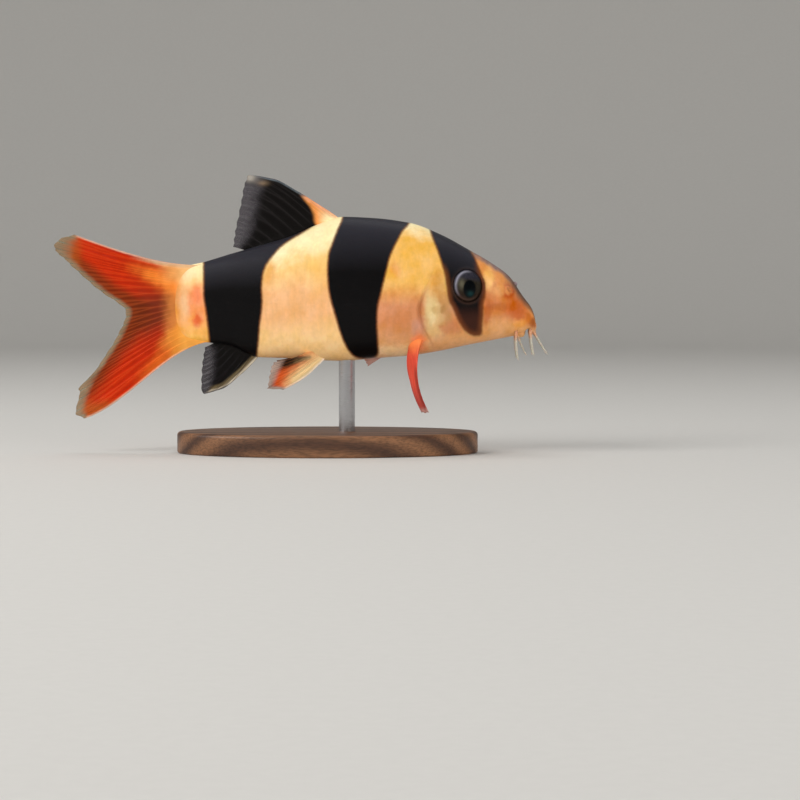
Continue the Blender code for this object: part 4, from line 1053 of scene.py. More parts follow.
def streak(x, z, line):
    """How near each point lies to the middle line of a streak, 1 on it. The streak fades in its last half."""
    nearest = np.zeros(np.shape(x))
    for mark in np.linspace(0, len(line) - 1, STREAK_MARKS):
        px, pz, half_width = (np.interp(mark, range(len(line)), values) for values in zip(*line))
        strength = min(1, 2.2 * (1 - mark / (len(line) - 1)))
        near = strength * np.exp(-((x - px) ** 2 + (z - pz) ** 2) / half_width**2)
        nearest = np.maximum(nearest, near)
    return nearest


def fin_grid(guides, rays, steps, bow_axis, cup, flap):
    """Middle surface of a fin as a grid of points, with each point's place across and along the fin."""
    shares = np.linspace(0, 1, (rays - 1) * GAP_STEPS + 1)
    table = [(*g[1], *g[2], g[3], g[4]) for g in guides]
    v = smooth_values([g[0] for g in guides], table, shares)
    root, tip = v[:, None, 0:3], v[:, None, 3:6]
    chord = tip - root
    length = np.linalg.norm(chord, axis=-1, keepdims=True)
    axis = np.array(bow_axis, float)
    inward = sum(((Vector(g[1]) - Vector(g[2])).normalized() for g in guides), Vector()).normalized()
    across = shares[:, None] * (rays - 1)
    between = np.abs((across + 0.5) % 1 - 0.5) * 2
    uneven = 0.6 + 0.4 * np.sin(across * 2.3 + 1.1) * np.sin(across * 0.9)
    notch = (EDGE_NOTCH * between + EDGE_UNEVEN * uneven) / length[..., 0]
    u = (np.linspace(0, 1, steps + 1)[None, :] * (1 - notch))[..., None]
    near = root + chord / 3 + axis * v[:, None, 6:7]
    far = root + chord * 2 / 3 + axis * v[:, None, 7:8]
    line = root * (1 - u) ** 3 + near * 3 * u * (1 - u) ** 2 + far * 3 * u * u * (1 - u) + tip * u**3
    line = line + np.array(cup, float) * 4 * u * (1 - u)
    if flap:
        middle, half_width, reach = flap
        bump = np.exp(-(((shares[:, None, None] - middle) / half_width) ** 2)) * eased(u, 0.86, 1.0)
        line = line + chord / length * bump * reach
    roots = [root + np.array(inward) * depth for depth in ROOT_DEPTHS]
    grid = np.concatenate([*roots, line], axis=1)
    out = np.concatenate([np.zeros((len(shares), 2)), u[..., 0]], axis=1)
    from_tip = (1 - out) * length[..., 0]
    return grid, np.repeat(across, grid.shape[1], axis=1), out, from_tip


def distance_from(grid, line):
    """Distance of each point of a grid from the nearest point of a line."""
    nearest = np.full(grid.shape[:2], np.inf)
    for point in line:
        nearest = np.minimum(nearest, np.linalg.norm(grid - point, axis=-1))
    return nearest


def make_fin(name, replaced, material, fins, guides, margin, masks, rays, steps, lead,
             bow_axis=(0, 0, 1), cup=(0, 0, 0), flap=None, relief=1.0):
    """A fin as one thin closed piece with branching rays in relief and a waving clear margin. masks gives the
    shares of its colours from each point's place, and lead is the share of the fin whose tips lie on its
    front."""
    grid, across, out, from_tip = fin_grid(guides, rays, steps, bow_axis, cup, flap)
    ahead, aside = np.gradient(grid, axis=1), np.gradient(grid, axis=0)
    normal = np.cross(ahead, aside).reshape(-1, 3).sum(axis=0)
    normal /= np.linalg.norm(normal)
    share = across / (rays - 1)
    tips = share[:, 0] <= lead
    from_front = distance_from(grid, np.concatenate([grid[0], grid[tips, -1]]))
    tips = share[:, 0] >= REAR_TIPS
    from_rear = distance_from(grid, np.concatenate([grid[-1], grid[tips, -1]]))
    wave = np.sin(across * 1.15 + 0.7) + 0.5 * np.sin(across * 2.9 + out * 3.0)
    grid = grid + (fins.ruffle / MM * 0.6 * out**2.2 * wave)[..., None] * normal
    body_share = eased(out, 0.22, 0.0)
    thick = fins.membrane / MM * (1 - out) + fins.margin / MM * out
    thick = thick + (ROOT_THICKNESS - thick) * body_share
    ridge = np.exp(-((ray_distance(across, out) / RAY_WIDTH) ** 2))
    thick = thick + 2 * relief * fins.ray_height / MM * ridge * (1 - 0.65 * out) * (1 - body_share)
    thick[:, -1] *= 0.5
    columns, rows = grid.shape[:2]
    count = columns * rows
    near_face, far_face = grid + normal * thick[..., None] / 2, grid - normal * thick[..., None] / 2
    points = np.concatenate([near_face.reshape(-1, 3), far_face.reshape(-1, 3)])
    front = grid_faces(columns, rows)
    faces = front + [tuple(k + count for k in reversed(face)) for face in front]
    rim = list(range(rows)) + [j * rows + rows - 1 for j in range(1, columns)]
    rim += [(columns - 1) * rows + i for i in range(rows - 2, -1, -1)]
    rim += [j * rows for j in range(columns - 2, 0, -1)]
    faces += [(a, b, b + count, a + count) for a, b in zip(rim, rim[1:] + rim[:1])]
    width = curve_through(margin, share)
    clear = eased(from_tip, width * 1.5, width * 0.35)
    values = {"across": across, "out": out, "clear": clear}
    values.update(masks(grid[..., 0], grid[..., 2], share, out, from_tip, from_front, from_rear))
    if "tip" in values:
        values["clear"] = values["clear"] * (1 - values["tip"])
    doubled = {key: np.concatenate([v.ravel(), v.ravel()]) for key, v in values.items()}
    return new_piece(name, points, faces, material, replaced, doubled)


def fin_material(name, field, paints, margin, ray, ray_strength, clearness, length):
    """Fin skin stretched over jointed bony rays: satin and thin, clear where it has no colour. Reads the
    shares of its colours from the piece, and draws the finest branches of the rays, which the mesh is too
    coarse for."""
    material, tree, shader = new_material(
        name, Specular_IOR_Level=0.06, Coat_Weight=0.04, Coat_Roughness=0.25, Coat_IOR=1.36
    )
    keys = ("across", "out", "clear", *paints)
    sockets = {key: add_node(tree, "ShaderNodeAttribute", attribute_name=key).outputs["Fac"] for key in keys}
    across, out = sockets["across"], sockets["out"]
    place = add_node(tree, "ShaderNodeTexCoord").outputs["Object"]
    cloud = add_node(tree, "ShaderNodeTexNoise", {"Vector": place, "Scale": 1 / (1.6 * MM), "Detail": 4.0})
    cloud = add_node(tree, "ShaderNodeMath", {0: cloud.outputs["Fac"], 1: 0.5}, operation="SUBTRACT")

    # Distance from the nearest ray, which forks twice towards the margin.
    gap = add_node(tree, "ShaderNodeMath", {0: across, 1: 0.5}, operation="ADD")
    for kind, amount in (("FRACT", 0.0), ("SUBTRACT", 0.5), ("ABSOLUTE", 0.0)):
        gap = add_node(tree, "ShaderNodeMath", {0: gap, 1: amount}, operation=kind)
    for start, end, spread in RAY_FORKS:
        fork = add_node(
            tree,
            "ShaderNodeMapRange",
            {"Value": out, "From Min": start, "From Max": end, "To Max": spread},
            interpolation_type="SMOOTHSTEP",
        )
        gap = add_node(tree, "ShaderNodeMath", {0: gap, 1: fork}, operation="SUBTRACT")
        gap = add_node(tree, "ShaderNodeMath", {0: gap}, operation="ABSOLUTE")
    # The drawn ray lines, and the stretch between rays where painted shade falls.
    line, valley_shade = (
        add_node(
            tree,
            "ShaderNodeMapRange",
            {"Value": gap, "From Min": start, "From Max": end},
            interpolation_type="SMOOTHSTEP",
        )
        for start, end in ((0.15, 0.03), (0.12, 0.32))
    )

    # Each colour is clouded where its share is neither none nor all. The clear margin comes last.
    layers = [(sockets[key], paint) for key, paint in paints.items()] + [(sockets["clear"], margin)]
    colour = (*field, 1)
    for share, paint in layers:
        left = add_node(tree, "ShaderNodeMath", {0: 1.0, 1: share}, operation="SUBTRACT")
        between = add_node(tree, "ShaderNodeMath", {0: share, 1: left}, operation="MULTIPLY")
        between = add_node(tree, "ShaderNodeMath", {0: between, 1: cloud}, operation="MULTIPLY")
        inputs = {0: between, 1: 2.6, 2: share}
        clouded = add_node(tree, "ShaderNodeMath", inputs, operation="MULTIPLY_ADD", use_clamp=True)
        colour = add_node(tree, "ShaderNodeMix", {0: clouded, 6: colour, 7: (*paint, 1)}, data_type="RGBA")
    clear = clouded

    # Rays are drawn in their own colour, and painted shade darkens the skin between them.
    drawn, hollow_shade = (
        add_node(tree, "ShaderNodeMapRange", {"Value": out, "From Min": 0.0, "From Max": end, "To Max": most})
        for end, most in ((0.2, ray_strength), (0.25, -0.2))
    )
    drawn = add_node(tree, "ShaderNodeMath", {0: line, 1: drawn}, operation="MULTIPLY")
    hollow_shade = add_node(tree, "ShaderNodeMath", {0: hollow_shade, 1: valley_shade}, operation="MULTIPLY")
    colour = add_node(tree, "ShaderNodeMix", {0: drawn, 6: colour, 7: (*ray, 1)}, data_type="RGBA")
    value = add_node(tree, "ShaderNodeMath", {0: cloud, 1: 0.3, 2: 1.0}, operation="MULTIPLY_ADD")
    shaded = add_node(tree, "ShaderNodeMath", {0: hollow_shade, 1: 1.0}, operation="ADD")
    value = add_node(tree, "ShaderNodeMath", {0: value, 1: shaded}, operation="MULTIPLY")
    colour = add_node(tree, "ShaderNodeHueSaturation", {"Color": colour, "Value": value})
    tree.links.new(colour.outputs[0], shader.inputs["Base Color"])

    # The margin is clearest between the rays.
    held = add_node(tree, "ShaderNodeMath", {0: line, 1: -0.45, 2: 1.0}, operation="MULTIPLY_ADD")
    seen_through = add_node(tree, "ShaderNodeMath", {0: clear, 1: held}, operation="MULTIPLY")
    inputs = {0: seen_through, 1: -clearness, 2: 1.0}
    alpha = add_node(tree, "ShaderNodeMath", inputs, operation="MULTIPLY_ADD")
    tree.links.new(alpha.outputs[0], shader.inputs["Alpha"])
    rough = add_node(tree, "ShaderNodeMapRange", {"Value": line, "To Min": 0.36, "To Max": 0.5})
    tree.links.new(rough.outputs[0], shader.inputs["Roughness"])

    # Joints of the rays, about 0.4 mm apart along a ray of this fin's usual length.
    joints = add_node(tree, "ShaderNodeMath", {0: out, 1: 2 * math.pi * length / 0.4}, operation="MULTIPLY")
    joints = add_node(tree, "ShaderNodeMath", {0: joints}, operation="SINE")
    relief = add_node(tree, "ShaderNodeMath", {0: joints, 1: 0.15, 2: 0.85}, operation="MULTIPLY_ADD")
    relief = add_node(tree, "ShaderNodeMath", {0: relief, 1: line}, operation="MULTIPLY")
    bump = add_node(tree, "ShaderNodeBump", {"Height": relief, "Strength": 0.35, "Distance": 0.08 * MM})
    tree.links.new(bump.outputs[0], shader.inputs["Normal"])
    return material


class LOACH_OT_dorsal_fin(Operator):
    """Makes the dorsal fin, black with a golden front and a smoky margin"""

    bl_idname = "loach.dorsal_fin"
    bl_label = "Make Dorsal Fin"

    def execute(self, context):
        fins = context.scene.loach.fins

        def masks(x, z, share, out, from_tip, from_front, from_rear):
            ahead = x - curve_through(DORSAL_WEDGE, z)
            tan = np.exp(-(((x + 7.2) / 1.0) ** 2 + ((z - 50.1) / 0.45) ** 2))
            return {
                "gold": eased(ahead, -0.5, 0.5) * eased(z, 48.3, 47.3),
                "cream": eased(z + 0.25 * ahead, 46.2, 44.2) * eased(ahead, 0.2, 2.6),
                "rose": 0.5 * eased(from_front, 0.9, 0.2) * eased(x, -0.5, 1.5),
                "tan": 0.75 * tan,
                "edge": 0.8 * eased(from_front, 0.5, 0.12) * eased(x, 1.5, -0.5),
                "tip": 0.95 * np.exp(-(((x + 9.3) / 1.5) ** 2 + ((z - 51.1) / 1.1) ** 2)),
            }

        paints = {
            "gold": fins.gold,
            "cream": to_linear("#ffe9b4"),
            "rose": to_linear("#f6b79c"),
            "tan": to_linear("#a88a66"),
            "edge": to_linear("#77828a"),
            "tip": to_linear("#bdb5aa"),
        }
        material = fin_material(
            "black_fin_skin", fins.black, paints, margin=fins.smoke, ray=to_linear("#3a3637"),
            ray_strength=0.16, clearness=0.35, length=12,
        )
        make_fin(
            "dorsal_fin_skin", ("dorsal_fin",), material, fins,
            DORSAL_GUIDES, DORSAL_MARGIN, masks, rays=13, steps=60, lead=0.3, relief=0.45,
        )
        return {"FINISHED"}


class LOACH_OT_anal_fin(Operator):
    """Makes the anal fin, black with an olive leading edge and a smoky margin"""

    bl_idname = "loach.anal_fin"
    bl_label = "Make Anal Fin"

    def execute(self, context):
        fins = context.scene.loach.fins

        def masks(x, z, share, out, from_tip, from_front, from_rear):
            return {
                "olive": eased(from_front, 1.3, 0.8),
                "edge": 0.95 * eased(from_front, 0.6, 0.25),
            }

        paints = {"olive": fins.olive, "edge": to_linear("#dccfb8")}
        material = fin_material(
            "smoky_fin_skin", fins.black, paints, margin=fins.smoke, ray=to_linear("#1c181b"),
            ray_strength=0.5, clearness=0.35, length=9,
        )
        make_fin(
            "anal_fin_skin", ("anal_fin",), material, fins,
            ANAL_GUIDES, ANAL_MARGIN, masks, rays=9, steps=50, lead=0.29,
        )
        return {"FINISHED"}


class LOACH_OT_caudal_fin(Operator):
    """Makes the forked caudal fin, red with orange roots, a dusky middle and a clear margin"""

    bl_idname = "loach.caudal_fin"
    bl_label = "Make Caudal Fin"

    def execute(self, context):
        fins = context.scene.loach.fins

        def masks(x, z, share, out, from_tip, from_front, from_rear):
            inner = eased(np.abs(share - 0.5), 0.47, 0.34)
            # How far a point lies below the line where the dusky middle gives way to the lower lobe's orange.
            low = eased(z - 23.4 - 0.8 * (x + 23.3), 1.1, -0.9)
            return {
                "brown": np.clip(streak(x, z, CAUDAL_BROWN) * 1.25, 0, 1),
                "rust": 0.9 * inner * eased(from_tip, 6.8 + 3.2 * eased(share, 0.5, 0.62), 2.6),
                "amber": 0.8 * eased(x, -39.8, -42.6) + 0.8 * eased(z, 10.6, 8.2),
                "root": 0.9 * eased(x, -27.0, -23.4) ** 1.5,
                "flame": 0.9 * low * eased(x, -34.0, -26.0) ** 1.5,
                "orange": streak(x, z, CAUDAL_ORANGE) ** 1.4,
                "cream": streak(x, z, CAUDAL_CREAM),
                "peach": 0.9 * eased(x, -28.5, -23.4) ** 2 * eased(z, 30.6, 33.0),
                "amber_low": 0.95 * eased(x, -29.0, -22.8) ** 1.7 * low,
                "flame_low": (
                    0.85 * low * eased(x, -23.2, -25.0) * eased(from_rear, 3.2, 0.8) * eased(x, -32.0, -27.0)
                ),
                "stalk": 0.95 * eased(x, -23.7, -21.2) * eased(z, 28.5, 31.0),
                "stalk_low": 0.9 * eased(x, -23.4, -21.6) * eased(z, 26.5, 24.0),
                "pale": 0.7 * eased(from_front, 1.0, 0.2) * eased(x, -29.5, -25.5),
                "edge": np.maximum(
                    0.85 * eased(np.minimum(from_front, from_rear), 0.42, 0.14) * eased(out, 0.05, 0.3),
                    0.5 * eased(from_tip, 0.45, 0.15),
                ),
            }

        paints = {
            "brown": fins.dusk,
            "rust": to_linear("#6a280b"),
            "amber": to_linear("#a5521a"),
            "root": to_linear("#d0803e"),
            "flame": to_linear("#ec621c"),
            "orange": fins.orange,
            "cream": to_linear("#fad09a"),
            "peach": to_linear("#ea9f58"),
            "amber_low": to_linear("#ee9538"),
            "flame_low": to_linear("#e5681f"),
            "stalk": to_linear("#f5bb78"),
            "stalk_low": to_linear("#f5a84a"),
            "pale": to_linear("#ddb48f"),
            "edge": to_linear("#dcb79f"),
        }
        material = fin_material(
            "red_fin_skin", fins.red, paints, margin=fins.clear, ray=to_linear("#d9622c"),
            ray_strength=0.16, clearness=0.4, length=18,
        )
        make_fin(
            "caudal_fin_skin", ("caudal_fin_upper", "caudal_fin_lower"), material, fins,
            CAUDAL_GUIDES, CAUDAL_MARGIN, masks, rays=23, steps=90, lead=0.08, flap=CAUDAL_FLAP,
        )
        return {"FINISHED"}


def mirrored(guides):
    """The same fin on the left side."""
    return tuple(
        (share, (rx, -ry, rz), (tx, -ty, tz), near, far)
        for share, (rx, ry, rz), (tx, ty, tz), near, far in guides
    )


class LOACH_OT_pelvic_fins(Operator):
    """Makes the pair of pelvic fins, cream in front and red behind"""

    bl_idname = "loach.pelvic_fins"
    bl_label = "Make Pelvic Fins"

    def execute(self, context):
        fins = context.scene.loach.fins

        def masks(x, z, share, out, from_tip, from_front, from_rear):
            return {
                "smoke": 0.85 * eased(share, 0.62, 0.85) * eased(out, 0.1, 0.35),
                "root": 0.85 * eased(out, 0.3, 0.08),
                "black": np.clip(streak(x, z, PELVIC_BLACK) * 1.3, 0, 1),
                "orange": 0.75 * streak(x, z, PELVIC_ORANGE),
                "cream": np.clip(streak(x, z, PELVIC_CREAM) * 1.15, 0, 1),
                "edge": 0.85 * eased(from_front, 0.5, 0.15),
            }

        paints = {
            "smoke": to_linear("#6f5a48"),
            "root": to_linear("#dd9d62"),
            "black": to_linear("#1c0b06"),
            "orange": to_linear("#f7984c"),
            "cream": fins.cream,
            "edge": to_linear("#f3e0cc"),
        }
        material = fin_material(
            "pelvic_fin_skin", to_linear("#dc5420"), paints, margin=to_linear("#b09c90"),
            ray=to_linear("#f08848"), ray_strength=0.08, clearness=0.4, length=8,
        )
        for guides, mark, aside in ((PELVIC_GUIDES, "right", -0.3), (mirrored(PELVIC_GUIDES), "left", 0.3)):
            make_fin(
                "pelvic_fin_skin_" + mark, ("pelvic_fin_" + mark,), material, fins,
                guides, PELVIC_MARGIN, masks, rays=8, steps=50, lead=0.3, cup=(0, aside, -0.2),
            )
        return {"FINISHED"}


class LOACH_OT_pectoral_fins(Operator):
    """Makes the pectoral fins, the right one hanging and bowed and the left one spread aside"""

    bl_idname = "loach.pectoral_fins"
    bl_label = "Make Pectoral Fins"

    def execute(self, context):
        fins = context.scene.loach.fins

        def hanging(x, z, share, out, from_tip, from_front, from_rear):
            return {
                "orange": eased(out, 0.3, 0.03),
                "rose": 0.85 * eased(out, 0.5, 0.95),
                "wine": 0.7 * eased(from_front, 1.1, 0.2) * eased(out, 0.3, 0.5),
                "blush": 0 * out,
                "tip": 0.8 * eased(out, 0.9, 0.99),
            }

        def spread(x, z, share, out, from_tip, from_front, from_rear):
            masks = hanging(x, z, share, out, from_tip, from_front, from_rear)
            masks["tip"] = 0.85 * eased(out, 0.45, 0.85)
            masks["blush"] = 0.8 * eased(out, 0.3, 0.75)
            return masks

        paints = {
            "orange": to_linear("#ff8c4c"),
            "rose": to_linear("#9c3d3c"),
            "wine": to_linear("#7d1f18"),
            "blush": to_linear("#f4cfc2"),
            "tip": to_linear("#dcb3a8"),
        }
        material = fin_material(
            "coral_fin_skin", fins.coral, paints, margin=to_linear("#b58f88"), ray=to_linear("#f57e66"),
            ray_strength=0.16, clearness=0.4, length=13,
        )
        make_fin(
            "pectoral_fin_skin_right", ("pectoral_fin_right",), material, fins,
            HANGING_PECTORAL_GUIDES, PECTORAL_MARGIN, hanging, rays=9, steps=60, lead=0, bow_axis=(1, 0, 0),
        )
        make_fin(
            "pectoral_fin_skin_left", ("pectoral_fin_left",), material, fins,
            SPREAD_PECTORAL_GUIDES, PECTORAL_MARGIN, spread, rays=9, steps=60, lead=0, cup=(0, 0.8, 0),
        )
        return {"FINISHED"}


def barbel_material(barbels):
    """Soft bare skin of a barbel: matt and slightly clear, rosy at the root and ash white further out."""
    material, tree, shader = new_material(
        "barbel_skin", Coat_Weight=0.15, Coat_Roughness=0.3, Subsurface_Weight=0.15, Subsurface_Scale=0.0006
    )
    out = add_node(tree, "ShaderNodeAttribute", attribute_name="out").outputs["Fac"]
    place = add_node(tree, "ShaderNodeTexCoord").outputs["Object"]
    buds = add_node(tree, "ShaderNodeTexNoise", {"Vector": place, "Scale": 1 / (0.25 * MM), "Detail": 2.0})
    buds = buds.outputs["Fac"]
    stops = ((0.0, barbels.root), (0.08, barbels.root), (0.3, barbels.tip))
    colour = add_node(tree, "ShaderNodeValToRGB", {0: out}, stops)
    inputs = {"Value": buds, "From Min": 0.3, "From Max": 0.7, "To Min": 0.9, "To Max": 1.06}
    value = add_node(tree, "ShaderNodeMapRange", inputs)
    colour = add_node(tree, "ShaderNodeHueSaturation", {"Color": colour, "Value": value})
    tree.links.new(colour.outputs[0], shader.inputs["Base Color"])
    rough = add_node(tree, "ShaderNodeMapRange", {"Value": buds, "To Min": 0.42, "To Max": 0.58})
    tree.links.new(rough.outputs[0], shader.inputs["Roughness"])
    bump = add_node(tree, "ShaderNodeBump", {"Height": buds, "Strength": 0.3, "Distance": 0.04 * MM})
    tree.links.new(bump.outputs[0], shader.inputs["Normal"])
    return material


class LOACH_OT_barbels(Operator):
    """Makes the eight barbels round the mouth"""

    bl_idname = "loach.barbels"
    bl_label = "Make Barbels"

    def execute(self, context):
        barbels = context.scene.loach.barbels
        material = barbel_material(barbels)
        turn = (2 * np.pi * np.arange(BARBEL_SIDES) / BARBEL_SIDES)[None, :, None]
        u = np.linspace(0, 1, BARBEL_STEPS)[:, None]
        out = np.append(0.0, u[:, 0])

        # A barbel is stoutest where it leaves the lip and ends in a rounded tip.
        radius = barbels.thickness / MM * (1 - 0.62 * out**1.1) + 0.07 * np.exp(-((out / 0.08) ** 2))
        radius *= np.sqrt(np.clip(1 - np.maximum(out - 0.93, 0) ** 2 / 0.075**2, 0.002, 1))
        values = {"out": np.append(np.repeat(out, BARBEL_SIDES), (0.0, 1.0))}
        for name, path in BARBELS.items():
            for side, mark in ((1, "right"), (-1, "left")):
                root, bend, tip = (np.array((px, py * side, pz)) for px, py, pz in path)
                line = root * (1 - u) ** 2 + bend * 2 * u * (1 - u) + tip * u**2
                start = line[:1] + (root - bend) / np.linalg.norm(root - bend) * BARBEL_DEPTH
                line = np.concatenate([start, line])
                ahead = np.gradient(line, axis=0)
                ahead /= np.linalg.norm(ahead, axis=1, keepdims=True)
                aside = np.cross(ahead, np.array((0.0, 1.0, 0.01)))
                aside /= np.linalg.norm(aside, axis=1, keepdims=True)
                over = np.cross(ahead, aside)
                ring = aside[:, None] * np.cos(turn) + over[:, None] * np.sin(turn)
                points = line[:, None] + ring * radius[:, None, None]
                new_piece(
                    f"{name}_skin_{mark}",
                    np.concatenate([points.reshape(-1, 3), [line[0], line[-1]]]),
                    tube_faces(len(line), BARBEL_SIDES),
                    material,
                    (f"{name}_{mark}",),
                    values,
                )
        return {"FINISHED"}


def walnut_material(stand):
    """Walnut, planed and oiled: dark straight grain with short open pores, satin."""
    material, tree, shader = new_material("oiled_walnut_wood", Coat_Weight=0.15, Coat_Roughness=0.35)
    place = add_node(tree, "ShaderNodeTexCoord").outputs["Object"]
    stretched = add_node(tree, "ShaderNodeVectorMath", {0: place, 1: (0.06, 1.0, 1.0)}, operation="MULTIPLY")
    drift = add_node(tree, "ShaderNodeTexNoise", {"Vector": stretched, "Scale": 1 / (5 * MM), "Detail": 3.0})
    wobble = add_node(
        tree,
        "ShaderNodeVectorMath",
        {0: drift.outputs["Color"], 1: (2.4 * MM,) * 3, 2: stretched},
        operation="MULTIPLY_ADD",
    )
    scale = 0.16 / stand.grain
    rings = add_node(
        tree,
        "ShaderNodeTexWave",
        {"Vector": wobble, "Scale": scale, "Distortion": 0.8, "Detail": 2.0, "Detail Scale": 1.5},
        wave_type="BANDS",
        bands_direction="DIAGONAL",
        wave_profile="SIN",
    )
    pores = add_node(tree, "ShaderNodeVectorMath", {0: place, 1: (0.12, 1.0, 1.0)}, operation="MULTIPLY")
    pores = add_node(tree, "ShaderNodeTexNoise", {"Vector": pores, "Scale": 1 / (0.22 * MM), "Detail": 2.0})
    pores = pores.outputs["Fac"]
    inputs = {0: rings.outputs["Fac"], 6: (*stand.walnut_light, 1), 7: (*stand.walnut_dark, 1)}
    colour = add_node(tree, "ShaderNodeMix", inputs, data_type="RGBA")
    inputs = {"Value": pores, "From Min": 0.35, "From Max": 0.6, "To Min": 0.62, "To Max": 1.08}
    value = add_node(tree, "ShaderNodeMapRange", inputs)
    colour = add_node(tree, "ShaderNodeHueSaturation", {"Color": colour, "Value": value})
    tree.links.new(colour.outputs[0], shader.inputs["Base Color"])
    rough = add_node(tree, "ShaderNodeMapRange", {"Value": pores, "To Min": 0.58, "To Max": 0.38})
    tree.links.new(rough.outputs[0], shader.inputs["Roughness"])
    bump = add_node(tree, "ShaderNodeBump", {"Height": pores, "Strength": 0.35, "Distance": 0.05 * MM})
    tree.links.new(bump.outputs[0], shader.inputs["Normal"])
    return material


def steel_material(stand):
    """Stainless steel, turned on a lathe and brushed round: fine rings that stretch the highlights."""
    material, tree, shader = new_material("brushed_stainless_steel", Metallic=1.0, Anisotropic=0.6)
    shader.inputs["Base Color"].default_value = (*stand.steel, 1)
    place = add_node(tree, "ShaderNodeTexCoord").outputs["Object"]
    rings = add_node(tree, "ShaderNodeVectorMath", {0: place, 1: (0.05, 0.05, 1.0)}, operation="MULTIPLY")
    rings = add_node(tree, "ShaderNodeTexNoise", {"Vector": rings, "Scale": 1 / (0.12 * MM), "Detail": 2.0})
    rings = rings.outputs["Fac"]
    rough = add_node(tree, "ShaderNodeMapRange", {"Value": rings, "To Min": 0.2, "To Max": 0.42})
    tree.links.new(rough.outputs[0], shader.inputs["Roughness"])
    bump = add_node(tree, "ShaderNodeBump", {"Height": rings, "Strength": 0.15, "Distance": 0.01 * MM})
    tree.links.new(bump.outputs[0], shader.inputs["Normal"])
    return material


def turned(name, profile, centre, stretch, sides, material, replaced):
    """A closed piece turned from a profile of (radius, height) about an upright axis, or an oval of it."""
    profile = np.array(profile, float)
    turn = (2 * np.pi * np.arange(sides) / sides)[None, :]
    radius, height = profile[:, :1], profile[:, 1:]
    x = centre + (radius + stretch[0]) * np.cos(turn)
    y = (radius + stretch[1]) * np.sin(turn)
    points = np.stack([x, y, height + 0 * x], axis=-1)
    rows = len(profile)
    faces = grid_faces(rows, sides, closed=True)
    faces += [tuple(range(sides)), tuple(range((rows - 1) * sides, rows * sides))]
    return new_piece(name, points.reshape(-1, 3), faces, material, replaced, sharp_angle=35)


class LOACH_OT_stand(Operator):
    """Makes the oval walnut base and the steel rod"""

    bl_idname = "loach.stand"
    bl_label = "Make Stand"

    def execute(self, context):
        stand = context.scene.loach.stand
        half_sizes = (BASE_LENGTH / 2, BASE_WIDTH / 2)
        profile = [(-BASE_FOOT, 0.0), (-BASE_FOOT * 0.35, BASE_FOOT * 0.35), (0.0, BASE_FOOT)]
        top = BASE_HEIGHT - BASE_BEVEL
        for turn in np.linspace(0, np.pi / 2, 9):
            profile.append((BASE_BEVEL * (math.cos(turn) - 1), top + BASE_BEVEL * math.sin(turn)))
        wood = walnut_material(stand)
        turned("walnut_base", profile, BASE_X, half_sizes, 240, wood, ("stand_base",))
        rod = [(ROD_RADIUS - 0.1, BASE_HEIGHT - 0.2), (ROD_RADIUS, BASE_HEIGHT - 0.1), (ROD_RADIUS, ROD_TOP)]
        turned("steel_rod", rod, ROD_X, (0, 0), 72, steel_material(stand), ("stand_rod",))
        return {"FINISHED"}


def add_light(name, place, target, size, power, colour, shows_in_gloss=True, spread=180):
    """A large soft light that faces a point, both in millimetres, and spreads by an angle in degrees."""
    lamp = bpy.data.lights.new(name, "AREA")
    lamp.shape, lamp.size, lamp.size_y = "RECTANGLE", size[0] * MM, size[1] * MM
    lamp.energy, lamp.color = power, colour
    lamp.spread = math.radians(spread)
    light = bpy.data.objects.new(name, lamp)
    light.location = Vector(place) * MM
    light.rotation_euler = (Vector(target) - Vector(place)).to_track_quat("-Z", "Y").to_euler()
    light.visible_camera = False
    light.visible_glossy = shows_in_gloss
    bpy.context.scene.collection.objects.link(light)
    return light


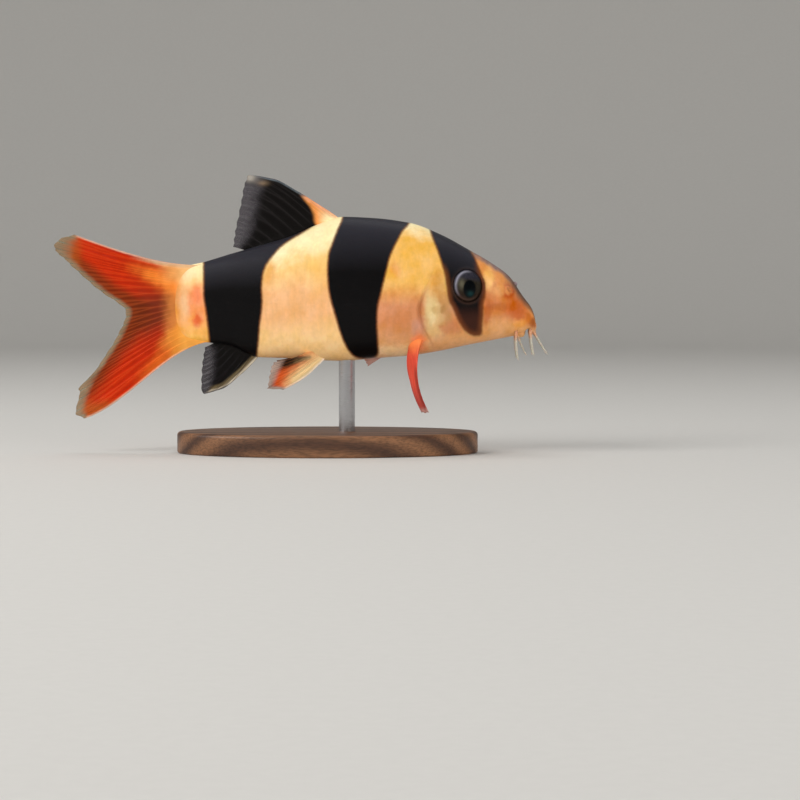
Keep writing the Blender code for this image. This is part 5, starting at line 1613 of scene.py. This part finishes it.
class LOACH_OT_stage(Operator):
    """Makes the pale floor, the soft lights and the camera"""

    bl_idname = "loach.stage"
    bl_label = "Make Stage"

    def execute(self, context):
        stage = context.scene.loach.stage
        scene = context.scene
        material, tree, shader = new_material("matt_paper", Roughness=0.9)
        place = add_node(tree, "ShaderNodeTexCoord").outputs["Object"]
        inputs = {"Vector": place, "Scale": 1 / (1.5 * MM), "Detail": 3.0}
        fibre = add_node(tree, "ShaderNodeTexNoise", inputs).outputs["Fac"]
        paper = add_node(tree, "ShaderNodeMapRange", {"Value": fibre, "To Min": 0.97, "To Max": 1.02})
        colour = add_node(tree, "ShaderNodeHueSaturation", {"Color": (*stage.floor, 1), "Value": paper})
        tree.links.new(colour.outputs[0], shader.inputs["Base Color"])

        # A round sweep of paper: the floor runs out level and curves up into a low wall on every side.
        level, bend, wall, sides = 650.0, 350.0, 900.0, 96
        profile = [(100.0, 0.0), (level, 0.0)]
        for turn in np.linspace(0, np.pi / 2, 25)[1:]:
            profile.append((level + bend * math.sin(turn), bend * (1 - math.cos(turn))))
        profile.append((level + bend, wall))
        turns = 2 * np.pi * np.arange(sides) / sides
        points = [(r * math.cos(t), r * math.sin(t), z) for r, z in profile for t in turns]
        points.append((0.0, 0.0, 0.0))
        faces = grid_faces(len(profile), sides, closed=True)
        faces += [(b, a, middle) for a, b, middle in fan(range(sides), len(profile) * sides)]
        mesh = bpy.data.meshes.new("paper_sweep")
        mesh.from_pydata((np.array(points) * MM).tolist(), [], faces)
        mesh.shade_smooth()
        mesh.materials.append(material)
        sweep = bpy.data.objects.new("paper_sweep", mesh)
        scene.collection.objects.link(sweep)

        aim = (5.0, 0.0, 27.0)
        add_light("key", (-430, -250, 360), aim, (340, 340), stage.key, (1.0, 0.99, 0.97))
        add_light("fill", (450, -330, 70), aim, (340, 300), stage.fill, (0.98, 0.99, 1.0), False)
        add_light("low", (40, -470, 60), (5, 0, 22), (520, 80), stage.low, (1.0, 0.99, 0.97), False, 70)
        add_light("top", (20, 120, 560), aim, (480, 260), stage.top, (1.0, 1.0, 1.0))
        scene.world = bpy.data.worlds.new("soft_room")
        scene.world.use_nodes = True
        sky = scene.world.node_tree.nodes["Background"]
        sky.inputs["Color"].default_value = (1.0, 1.0, 1.0, 1.0)
        sky.inputs["Strength"].default_value = stage.sky

        # The camera looks along +Y and a little down, as the picture was taken.
        camera = bpy.data.objects.new("camera", bpy.data.cameras.new("camera"))
        camera.data.lens = stage.lens
        camera.data.sensor_width = 36
        camera.data.clip_start, camera.data.clip_end = 0.02, 10
        target = Vector((18.5, 0.0, 9.8)) * MM
        back = Vector((0.0, -math.cos(stage.pitch), math.sin(stage.pitch)))
        camera.location = target + back * stage.distance
        camera.rotation_euler = (math.pi / 2 - stage.pitch, 0, 0)
        scene.collection.objects.link(camera)
        scene.camera = camera
        scene.view_settings.view_transform = "Standard"
        return {"FINISHED"}


OPERATORS = (
    LOACH_OT_skin,
    LOACH_OT_eyes,
    LOACH_OT_dorsal_fin,
    LOACH_OT_anal_fin,
    LOACH_OT_caudal_fin,
    LOACH_OT_pelvic_fins,
    LOACH_OT_pectoral_fins,
    LOACH_OT_barbels,
    LOACH_OT_stand,
    LOACH_OT_stage,
)


class LOACH_PT_sidebar(Panel):
    """Lists the pieces of the model and their settings"""

    bl_idname = "LOACH_PT_sidebar"
    bl_label = "Clown Loach"
    bl_space_type = "VIEW_3D"
    bl_region_type = "UI"
    bl_category = "Loach"

    def draw(self, context):
        for operator in OPERATORS:
            self.layout.operator(operator.bl_idname)
        settings = context.scene.loach
        for name in ("skin", "eyes", "fins", "barbels", "stand", "stage"):
            group = getattr(settings, name)
            box = self.layout.box()
            for key in group.__annotations__:
                box.prop(group, key)


CLASSES = (
    SkinSettings,
    EyeSettings,
    FinSettings,
    BarbelSettings,
    StandSettings,
    StageSettings,
    LoachSettings,
    *OPERATORS,
    LOACH_PT_sidebar,
)


def register():
    for made in CLASSES:
        bpy.utils.register_class(made)
    bpy.types.Scene.loach = PointerProperty(type=LoachSettings)


def unregister():
    del bpy.types.Scene.loach
    for made in reversed(CLASSES):
        bpy.utils.unregister_class(made)


def main():
    register()
    for operator in OPERATORS:
        group, name = operator.bl_idname.split(".")
        getattr(getattr(bpy.ops, group), name)()


if __name__ == "__main__":
    main()
